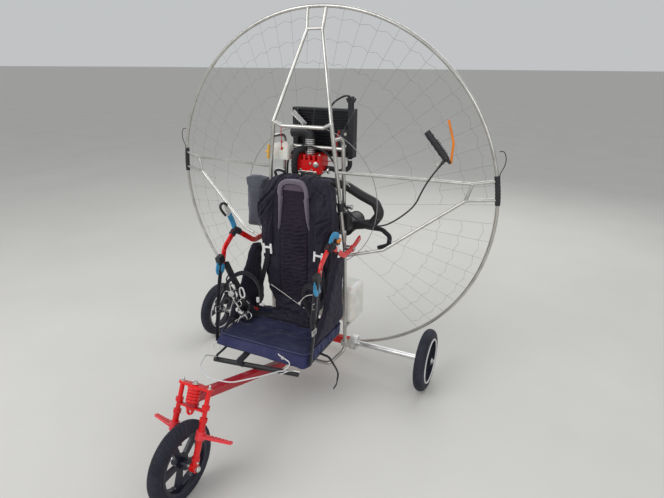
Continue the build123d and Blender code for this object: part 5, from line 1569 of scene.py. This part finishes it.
        lines = (
            ("short_line_1", ((-0.226, -0.480, 0.535), (-0.216, -0.490, 0.51), (-0.206, -0.492, 0.488))),
            ("short_line_2", ((-0.208, -0.492, 0.480), (-0.190, -0.486, 0.435), (-0.166, -0.470, 0.388),
                              (-0.154, -0.458, 0.366))),
            ("short_line_3", ((-0.196, -0.486, 0.470), (-0.214, -0.490, 0.43), (-0.222, -0.500, 0.38),
                              (-0.214, -0.506, 0.342))),
            ("short_line_4", ((-0.168, -0.464, 0.398), (-0.182, -0.478, 0.37), (-0.190, -0.486, 0.342))),
        )
        for name, route in lines:
            Workshop.tube(name, spots(route), 0.0015, Palette.WHITE_CORD)


    @staticmethod
    def toggles() -> None:
        """The bright link, the pale toggles and the red tag between the right-hand leg loop's two legs."""
        hub = spot(-0.174, -0.459, 0.488)
        Workshop.link("seat_link", hub, Vector((0.007, -0.003, -0.022)), Vector((0.010, 0.003, 0.003)),
                      0.0036,
                      Palette.PALE_PLASTIC)
        foot = hub + Vector((0.006, -0.003, -0.023))
        pale = [(spot(-0.134, -0.394, 0.432), Vector((0.014, 0.012, 0.026))),
                (spot(-0.118, -0.388, 0.408), Vector((0.024, 0.012, 0.010))),
                (spot(-0.163, -0.380, 0.352), Vector((0.018, 0.012, 0.014)))]
        Workshop.bars("pale_toggles", pale, Palette.PALE_PLASTIC, edge=0.003)
        tag = [(spot(-0.158, -0.386, 0.378), Vector((0.032, 0.012, 0.014)))]
        Workshop.bars("red_tag", tag, Palette.RED_BEAD, edge=0.004)
        run = Vector((0.046, 0, -0.021)).normalized()
        cone = [(spot(-0.206, -0.462, 0.396) + run * 0.014 * index, run, 0.0115 - 0.0024 * index, 0.015)
                for index in range(4)]
        Workshop.rings("seat_toggle", cone, Palette.PALE_PLASTIC)
        lines = (("link_line_1",
                  (foot, (foot + spot(-0.158, -0.392, 0.382)) / 2, spot(-0.158, -0.392, 0.382))),
                 ("link_line_2",
                  (foot, foot + Vector((-0.014, -0.004, -0.012)), foot + Vector((-0.026, -0.006, -0.026)))))
        for name, route in lines:
            Workshop.tube(name, list(route), 0.0018, Palette.WHITE_CORD)


@dataclass
class Engine:
    """The small parts on the water-cooled engine, its radiator and its exhaust."""

    neck: tuple[float, float] = (-0.018, -0.083)

    def build(self) -> None:
        """Makes the engine's fittings."""
        self.head()
        self.intake()
        self.plug()
        self.arch_pipe()
        self.radiator_trim()
        self.loom()
        self.exhaust_trim()
        self.carburettor_trim()
        self.drive_trim()
        self.starter_cord()

    def head(self) -> None:
        """Bright bolts on the red head, its gasket plate and a cast boss on its front."""
        seats = []
        for x, y in ((-0.080, 0.466), (-0.080, 0.538), (0.042, 0.466), (0.042, 0.538), (-0.019, 0.538)):
            place = Skin.node("cylinder_head", Vector((x, y, 1.2)), Vector((0, 0, -1)))
            if place.z > 1.06:
                seats.append((place, Vector((0, 0, 1))))
        Workshop.bolts("head_bolts", seats, 0.0056)
        front = []
        for x, z in ((-0.050, 1.000), (0.006, 1.000), (0.000, 1.030)):
            place = Skin.node("cylinder_head", Vector((x, 0.3, z)), Vector((0, 1, 0)))
            front.append((place, Vector((0, -1, 0))))
        Workshop.bolts("head_front_bolts", front, 0.0042)
        face = Skin.node("cylinder_head", Vector((0.030, 0.3, 1.026)), Vector((0, 1, 0)))
        boss = [(face + Vector((0, -0.001, 0)), Vector((0, -1, 0)), 0.0135, 0.008),
                (face + Vector((0, -0.006, 0)), Vector((0, -1, 0)), 0.0095, 0.008)]
        Workshop.rings("head_boss", boss, Palette.ALLOY)
        low = 0.9895
        flange = [(Vector((-0.019, 0.4528, low)), Vector((0.108, 0.005, 0.013))),
                  (Vector((-0.019, 0.5512, low)), Vector((0.108, 0.005, 0.013))),
                  (Vector((-0.0935, 0.502, low)), Vector((0.005, 0.058, 0.013))),
                  (Vector((0.0555, 0.502, low)), Vector((0.005, 0.058, 0.013)))]
        Workshop.bars("head_flange", flange, Palette.ALLOY, edge=0.0015)
        nuts = [(Vector((x, 0.4503, low)), Vector((0, -1, 0))) for x in (-0.058, -0.019, 0.020)]
        Workshop.bolts("flange_nuts", nuts, 0.0050)

    def intake(self) -> None:
        """The ribbed bright neck over the head and the black housing on its top."""
        x, y = self.neck
        place = Skin.node("cylinder_head", spot(x, y, 1.2), Vector((0, 0, -1)))
        base = place.z
        up = Vector((0, 0, 1))
        ribs = [(spot(x, y, base + 0.010 + 0.0088 * index), up, 0.0238, 0.0055) for index in range(10)]
        Workshop.rings("neck_ribs", ribs, Palette.ALLOY)
        core = [(spot(x, y, base + 0.047), up, 0.0205, 0.095)]
        Workshop.rings("neck_core", core, Palette.CAST)
        top = base + 0.096
        body = [spot(x + dx, y, top + dz) for dx,
                dz in ((0.0, 0.0), (0.0, 0.012), (-0.006, 0.024), (-0.020, 0.027),
                                                         (-0.060, 0.0235), (-0.092, 0.020))]
        Workshop.tube("intake_housing", body, 0.0225, Palette.BLACK_PLASTIC, sides=6)
        bands = [(spot(x, y, top + 0.002), up, 0.0248, 0.007),
                 (spot(x - 0.084, y, top + 0.021), Vector((1, 0, 0)), 0.0225, 0.008),
                 (spot(x - 0.034, y, top + 0.0265), Vector((1, 0, 0)), 0.0218, 0.004)]
        Workshop.rings("intake_bands", bands, Palette.BLACK_PLASTIC)

    def plug(self) -> None:
        """The plug's black boot on the head's right side, with its ribs."""
        points = spots((
            (-0.048, -0.090, 0.948), (-0.066, -0.122, 0.958), (-0.073, -0.137, 0.982),
            (-0.073, -0.138, 1.030), (-0.069, -0.136, 1.066), (-0.056, -0.126, 1.090),
            (-0.036, -0.104, 1.096)))
        Workshop.tube("plug_boot", points, 0.0145, Palette.HOSE, sides=5)
        path = Workshop.trace(points, 8)
        bands = []
        for share in (0.36, 0.46, 0.56, 0.66, 0.90):
            index = int(share * (len(path) - 2))
            bands.append((path[index], path[index + 1] - path[index], 0.0163, 0.004))
        Workshop.rings("boot_ribs", bands, Palette.BLACK_PLASTIC)

    def arch_pipe(self) -> None:
        """The thin black pipe that arches over the head from behind the back to the right-hand upright."""
        points = spots((
            (-0.122, -0.118, 0.940), (-0.122, -0.119, 0.995), (-0.116, -0.120, 1.040),
            (-0.096, -0.120, 1.074), (-0.060, -0.121, 1.098), (-0.010, -0.121, 1.107),
            (0.040, -0.122, 1.104), (0.080, -0.130, 1.090), (0.120, -0.150, 1.070), (0.144, -0.168, 1.050)))
        Workshop.tube("breather_pipe", points, 0.0045, Palette.HOSE, sides=4)

    def radiator_trim(self) -> None:
        """Bolts, the left bracket and the hose clamps of the radiator, and its thin overflow pipe."""
        bolts = []
        for x, z in ((0.153, 1.240), (0.153, 1.158), (0.153, 1.105), (-0.128, 1.250), (-0.128, 1.072),
                     (0.153, 1.070)):
            place = Skin.node("radiator", Vector((x, 0.3, z)), Vector((0, 1, 0)))
            bolts.append((place, Vector((0, -1, 0))))
        Workshop.bolts("radiator_bolts", bolts, 0.0032, finish=Palette.BLACK_METAL)
        plate = [(Vector((0.117, 0.5515, 1.130)), Vector((0.052, 0.004, 0.098)))]
        Workshop.bars("coil_plate", plate, Palette.BLACK_METAL, edge=0.0012)
        face = Vector((0, -1, 0))
        Workshop.bolts("coil_bolts",
                       [(Vector((0.131, 0.5494, 1.158)), face), (Vector((0.131, 0.5494, 1.105)), face)],
                       0.0052)
        long = Vector((0.063, 0, -0.056))
        turn = Matrix.Translation(Vector((-0.1035, 0.5495, 1.219))) @ Matrix.Rotation(
            math.atan2(-long.z, long.x), 4, "Y")
        strip = [(Vector((0, 0, 0)), Vector((0.090, 0.004, 0.024)))]
        strip += [(Vector((0, -0.002, edge)), Vector((0.090, 0.006, 0.002))) for edge in (0.011, -0.011)]
        Workshop.bars("radiator_bracket", strip, Palette.ALLOY, turn)
        clamps = [(Vector((0.144, 0.5765, 1.041)), Vector((0, 0, 1)), 0.0158, 0.008),
                  (Vector((0.072, 0.503, 0.9955)), Vector((1, 0, 0)), 0.0152, 0.008)]
        Workshop.rings("hose_clamps", clamps, Palette.ALLOY)
        pipe = [Vector(place) for place in (
            (0.146, 0.562, 1.322), (0.136, 0.560, 1.326), (0.118, 0.560, 1.323), (0.096, 0.561, 1.313),
            (0.074, 0.563, 1.300), (0.056, 0.566, 1.284), (0.047, 0.568, 1.268))]
        Workshop.tube("overflow_pipe", pipe, 0.0042, Palette.HOSE, sides=4)
        cap = [(Vector((0.146, 0.576, 1.3125)), Vector((0, 0, 1)), 0.0205, 0.006),
               (Vector((0.146, 0.576, 1.318)), Vector((0, 0, 1)), 0.0150, 0.008)]
        Workshop.rings("cap_rim", cap, Palette.BLACK_PLASTIC)
        teeth = []
        for index in range(12):
            angle = 2 * math.pi * index / 12
            teeth.append((Vector((0.146 + 0.0205 * math.cos(angle), 0.576 + 0.0205 * math.sin(angle),
                                  1.3095)),
                          Vector((0.0035, 0.0035, 0.011))))
        Workshop.bars("cap_teeth", teeth, Palette.BLACK_PLASTIC, edge=0.0007)

    def loom(self) -> None:
        """Two red wires from the coil's plate down to the head."""
        for index, shift in enumerate((0.0, 0.0055)):
            points = [Vector((x + shift, y, z)) for x, y, z in (
                (0.100, 0.548, 1.172), (0.093, 0.543, 1.150), (0.089, 0.540, 1.118), (0.092, 0.538, 1.085),
                (0.096, 0.532, 1.056), (0.086, 0.524, 1.040), (0.060, 0.520, 1.034), (0.050, 0.518, 1.033))]
            Workshop.tube(f"coil_wire_{index + 1}", points, 0.0017, Palette.RED_WIRE)

    def exhaust_trim(self) -> None:
        """The springs that hold the exhaust to the cylinder, with their lugs."""
        for index, shift in enumerate((0.0, 0.017)):
            start, end = Vector((0.116, 0.508 + shift, 0.969)), Vector((0.179, 0.508 + shift, 0.928))
            for label, place in (("upper", start), ("lower", end)):
                foot = Skin.node("exhaust_pipe", place, Vector((-0.4, 0, -1)))
                if (foot - place).length > 0.002:
                    Workshop.tube(f"spring_lug_{label}_{index + 1}", [place, foot - Vector((0, 0, 0.002))],
                                  0.0028,
                                  Palette.ALLOY, sides=3)
            run = end - start
            side = run.cross(Vector((0, 1, 0))).normalized()
            over = side.cross(run).normalized()
            turns = 9
            coil = [start + run * (0.2 + 0.6 * step / (turns * 6)) + side * 0.0048 * math.cos(step * math.pi / 3)
                    + over * 0.0048 * math.sin(step * math.pi / 3) for step in range(turns * 6 + 1)]
            Workshop.tube(f"exhaust_spring_{index + 1}",
                          [start, start + run * 0.1] + coil + [end - run * 0.1, end],
                          0.0017, Palette.ALLOY, sides=2, steps=2)

    def carburettor_trim(self) -> None:
        """The clamps round the intake between the carburettor and its box, and a fitting on the upright."""
        along = Vector((1, 0, 0))
        bands = [(Vector((x, 0.450, 0.783)), along, 0.0235, 0.006) for x in (0.060, 0.136)]
        Workshop.rings("carburettor_clamps", bands, Palette.ALLOY)
        fitting = [(spot(0.196, -0.106, 0.845), Vector((1, 0, 0)), 0.0085, 0.030),
                   (spot(0.205, -0.106, 0.845), Vector((1, 0, 0)), 0.0115, 0.008)]
        Workshop.rings("upright_fitting", fitting, Palette.ALLOY)

    def drive_trim(self) -> None:
        """Bolts on the rear face of the reduction drive."""
        seats = []
        for x, z in ((-0.047, 0.790), (0.038, 0.790), (-0.047, 0.868), (0.038, 0.868)):
            place = Skin.node("reduction_drive", Vector((x, 0.9, z)), Vector((0, -1, 0)))
            if 0.58 < place.y < 0.7:
                seats.append((place, Vector((0, 1, 0.056)).normalized()))
        Workshop.bolts("drive_bolts", seats, 0.0048)

    def starter_cord(self) -> None:
        """The red starter cord that hangs from the frame's top bar, with two beads on it."""
        place = Skin.node("chassis_frame", Vector((-0.100, 0.25, 1.198)), Vector((0, 1, 0)))
        top = place + Vector((0, -0.001, -0.004))
        points = [top + Vector(shift) for shift in (
            (0.0, 0.0, 0.0), (0.001, -0.003, -0.012), (-0.001, -0.003, -0.030), (0.0015, -0.002, -0.052),
            (-0.0005, -0.001, -0.074), (0.001, -0.001, -0.092))]
        bead = [(points[-1].copy(), Vector((0, 0, 1)), 0.0058, 0.013),
                (points[-1] + Vector((0, 0, 0.030)), Vector((0, 0, 1)), 0.0045, 0.010)]
        beads = Workshop.rings("starter_cord_beads", bead, Palette.RED_BEAD)
        Workshop.cord("starter_cord", points, 0.0019, Palette.RED_CORD, "knot", pieces=[beads])


@dataclass
class Trike:
    """The bolts, rings, washers, valves and rim lines of the three-wheeled trike."""

    rake: float = math.radians(24.8)

    def build(self) -> None:
        """Dresses the fork, the axles and the wheels."""
        self.fork_bolts()
        self.head_rings()
        self.axle_bolts()
        self.wheels()
        self.seat_hooks()

    def fork_bolts(self) -> None:
        """Bright bolts on the crown, over each leg and over the steering axis."""
        up = Vector((0, math.sin(self.rake), math.cos(self.rake)))
        seats = []
        for x in (-0.058, 0.058):
            start = Vector((x, *FRONT_AXLE[1:])) + up * 0.34
            place = Skin.node("fork", start, -up)
            seats.append((place, up))
        Workshop.bolts("crown_bolts", seats, 0.0056, Body.FORK)
        studs = [(place + up * 0.007, up, 0.0042, 0.014) for place, _ in seats]
        Workshop.rings("crown_studs", studs, Palette.ALLOY, Body.FORK)
        place = Skin.node("fork", Vector((0, -0.4178, 0.402)) + up * 0.06, -up)
        Workshop.bolts("steering_bolt", [(place, up)], 0.0088, Body.FORK)
        pinches = []
        for x in (-0.1, 0.1):
            for along in (0.020, 0.112):
                start = Vector((x, *FRONT_AXLE[1:])) + up * along
                place = Skin.node("fork", start, Vector((-math.copysign(1.0, x), 0, 0)))
                if abs(place.x) < 0.085:
                    pinches.append((place, Vector((math.copysign(1.0, x), 0, 0))))
        Workshop.bolts("fork_pinch_bolts", pinches, 0.0042, Body.FORK)

    def head_rings(self) -> None:
        """The turned rings on the head tube."""
        up = Vector((0, math.sin(self.rake), math.cos(self.rake)))
        start = Vector((0, -0.4178, 0.402)) - up * 0.0125
        seats = [(start - up * 0.004, up, 0.0245, 0.007)]
        seats += [(start - up * (0.0135 + 0.0112 * index), up, 0.0233, 0.0092) for index in range(4)]
        Workshop.rings("head_rings", seats, Palette.RED)

    def axle_bolts(self) -> None:
        """The clamps' bolts and the bolts that pin the cross-member and the axle tubes."""
        seats = []
        for side in (-1, 1):
            label = "left" if side > 0 else "right"
            for x, z in ((0.216, 0.164), (0.240, 0.164), (0.228, 0.130)):
                place = Skin.node("axle_clamp_" + label, Vector((side * x, 0.3, z)), Vector((0, 1, 0)))
                seats.append((place, Vector((0, -1, 0))))
            place = Skin.node("rear_crossmember", Vector((side * 0.178, 0.3, 0.149)), Vector((0, 1, 0)))
            seats.append((place, Vector((0, -1, 0))))
        Workshop.bolts("clamp_bolts", seats, 0.0052)
        bands = []
        for side in (-1, 1):
            for x in (0.262, 0.560):
                bands.append((Vector((side * x, 0.4711, 0.1482)), Vector((1, 0, 0)), 0.0142, 0.010))
        Workshop.rings("axle_bands", bands, Palette.ALLOY)

    def wheels(self) -> None:
        """The pale line on each side of the rear rims, a valve on every wheel and hub washers on the rear
        wheels.
        """
        table = ((Body.FRONT_WHEEL, FRONT_AXLE, False), (Body.REAR_LEFT, REAR_LEFT_AXLE, True),
                 (Body.REAR_RIGHT, REAR_RIGHT_AXLE, True))
        for body, axle, lined in table:
            name = body.value
            centre = Vector(axle)
            across = Vector((1, 0, 0))
            valve = [(centre + Vector((0.008, 0, 0.088)), Vector((0.25, 0, -1)), 0.0036, 0.018),
                     (centre + Vector((0.0095, 0, 0.0805)), Vector((0.25, 0, -1)), 0.0044, 0.006)]
            Workshop.rings("valve_" + name, valve, Palette.BLACK_METAL, body)
            if not lined:
                continue
            for side, label in ((1, "outer"), (-1, "inner")):
                ring = [centre + Vector((side * 0.0238, 0.1035 * math.cos(turn), 0.1035 * math.sin(turn)))
                        for turn in (2 * math.pi * index / 48 for index in range(48))]
                Workshop.tube(f"rim_line_{label}_{name}", ring, 0.0034, Palette.PALE_PLASTIC, body,
                              closed=True, steps=3)
            self.nuts(name, centre, across, body)

    def nuts(self, name: str, centre: Vector, across: Vector, body: Body) -> None:
        """A bright dished washer on each side of the hub."""
        bands = [(centre + across * side * 0.0285, across, 0.0135, 0.002) for side in (-1, 1)]
        Workshop.rings("hub_washers_" + name, bands, Palette.ALLOY, body)

    def seat_hooks(self) -> None:
        """The two short straps that hold the foot bar under the seat's front."""
        for x, width, name in ((-0.188, 0.012, "right"), (-0.075, 0.034, "middle")):
            place = Skin.node("foot_bar", Vector((x, -0.2, 0.245)), Vector((0, 1, 0)))
            top = Vector((x, 0.004, 0.272))
            points = [top, Vector((x, -0.028, 0.268)), Vector((x, place.y + 0.002, 0.266)),
                      Vector((x, place.y - 0.002, 0.250)), Vector((x, place.y + 0.004, 0.236))]
            Workshop.strap("foot_bar_strap_" + name, points, Vector((0, -0.3, 1)), width, Palette.WEB)


@dataclass
class Throttle:
    """The hand throttle's cable and the parts on its ends."""

    radius: float = 0.0035
    route: tuple[Triple, ...] = (
        (0.59196, -0.08098, 1.07295), (0.552, -0.098, 1.013), (0.520, -0.098, 0.950), (0.497, -0.100, 0.887),
        (0.436, -0.110, 0.827), (0.376, -0.130, 0.787), (0.322, -0.150, 0.785), (0.260, -0.156, 0.802),
        (0.214, -0.148, 0.826), (0.188, -0.142, 0.856),
    )

    def build(self) -> None:
        """Makes the cable and the grip's fittings."""
        self.cable()
        self.grip()

    def cable(self) -> None:
        """The throttle's cable, which hangs slack from the grip to its clamp."""
        Workshop.cord("throttle_lead", spots(self.route), self.radius, Palette.HOSE, "object", "medium",
                      sides=4,
                      steps=16, replaces=("throttle_cable",))

    def grip(self) -> None:
        """The grip's moulded rings, its pivot bolt and the cable's sleeve."""
        low, high = spot(0.612, -0.0745, 1.092), spot(0.527, -0.0745, 1.196)
        axis = (high - low).normalized()
        seats = [(low + axis * (0.018 + 0.0085 * index), axis, 0.0148, 0.0042) for index in range(9)]
        Workshop.rings("grip_ribs", seats, Palette.BLACK_PLASTIC)
        start, second = spots(self.route[:2])
        run = second - start
        sleeve = [(start + run.normalized() * 0.010, run, 0.0052, 0.020),
                  (start + run.normalized() * 0.021, run, 0.0044, 0.004)]
        Workshop.rings("cable_sleeve", sleeve, Palette.BLACK_PLASTIC)
        place = Skin.node("throttle_lever", Vector((0.618, 0.3, 1.10)), Vector((0, 1, 0)))
        Workshop.bolts("lever_pivot", [(place, Vector((0, -1, 0)))], 0.0045)


def main() -> None:
    """Builds every sub-assembly in order."""
    logging.basicConfig(level=logging.INFO, format="%(name)s: %(message)s")
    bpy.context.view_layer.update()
    for part in (Studio(), Throttle(), Solids(), Cage(), Harness(), Arms(), Engine(), Trike()):
        part.build()


if __name__ == "__main__":
    main()
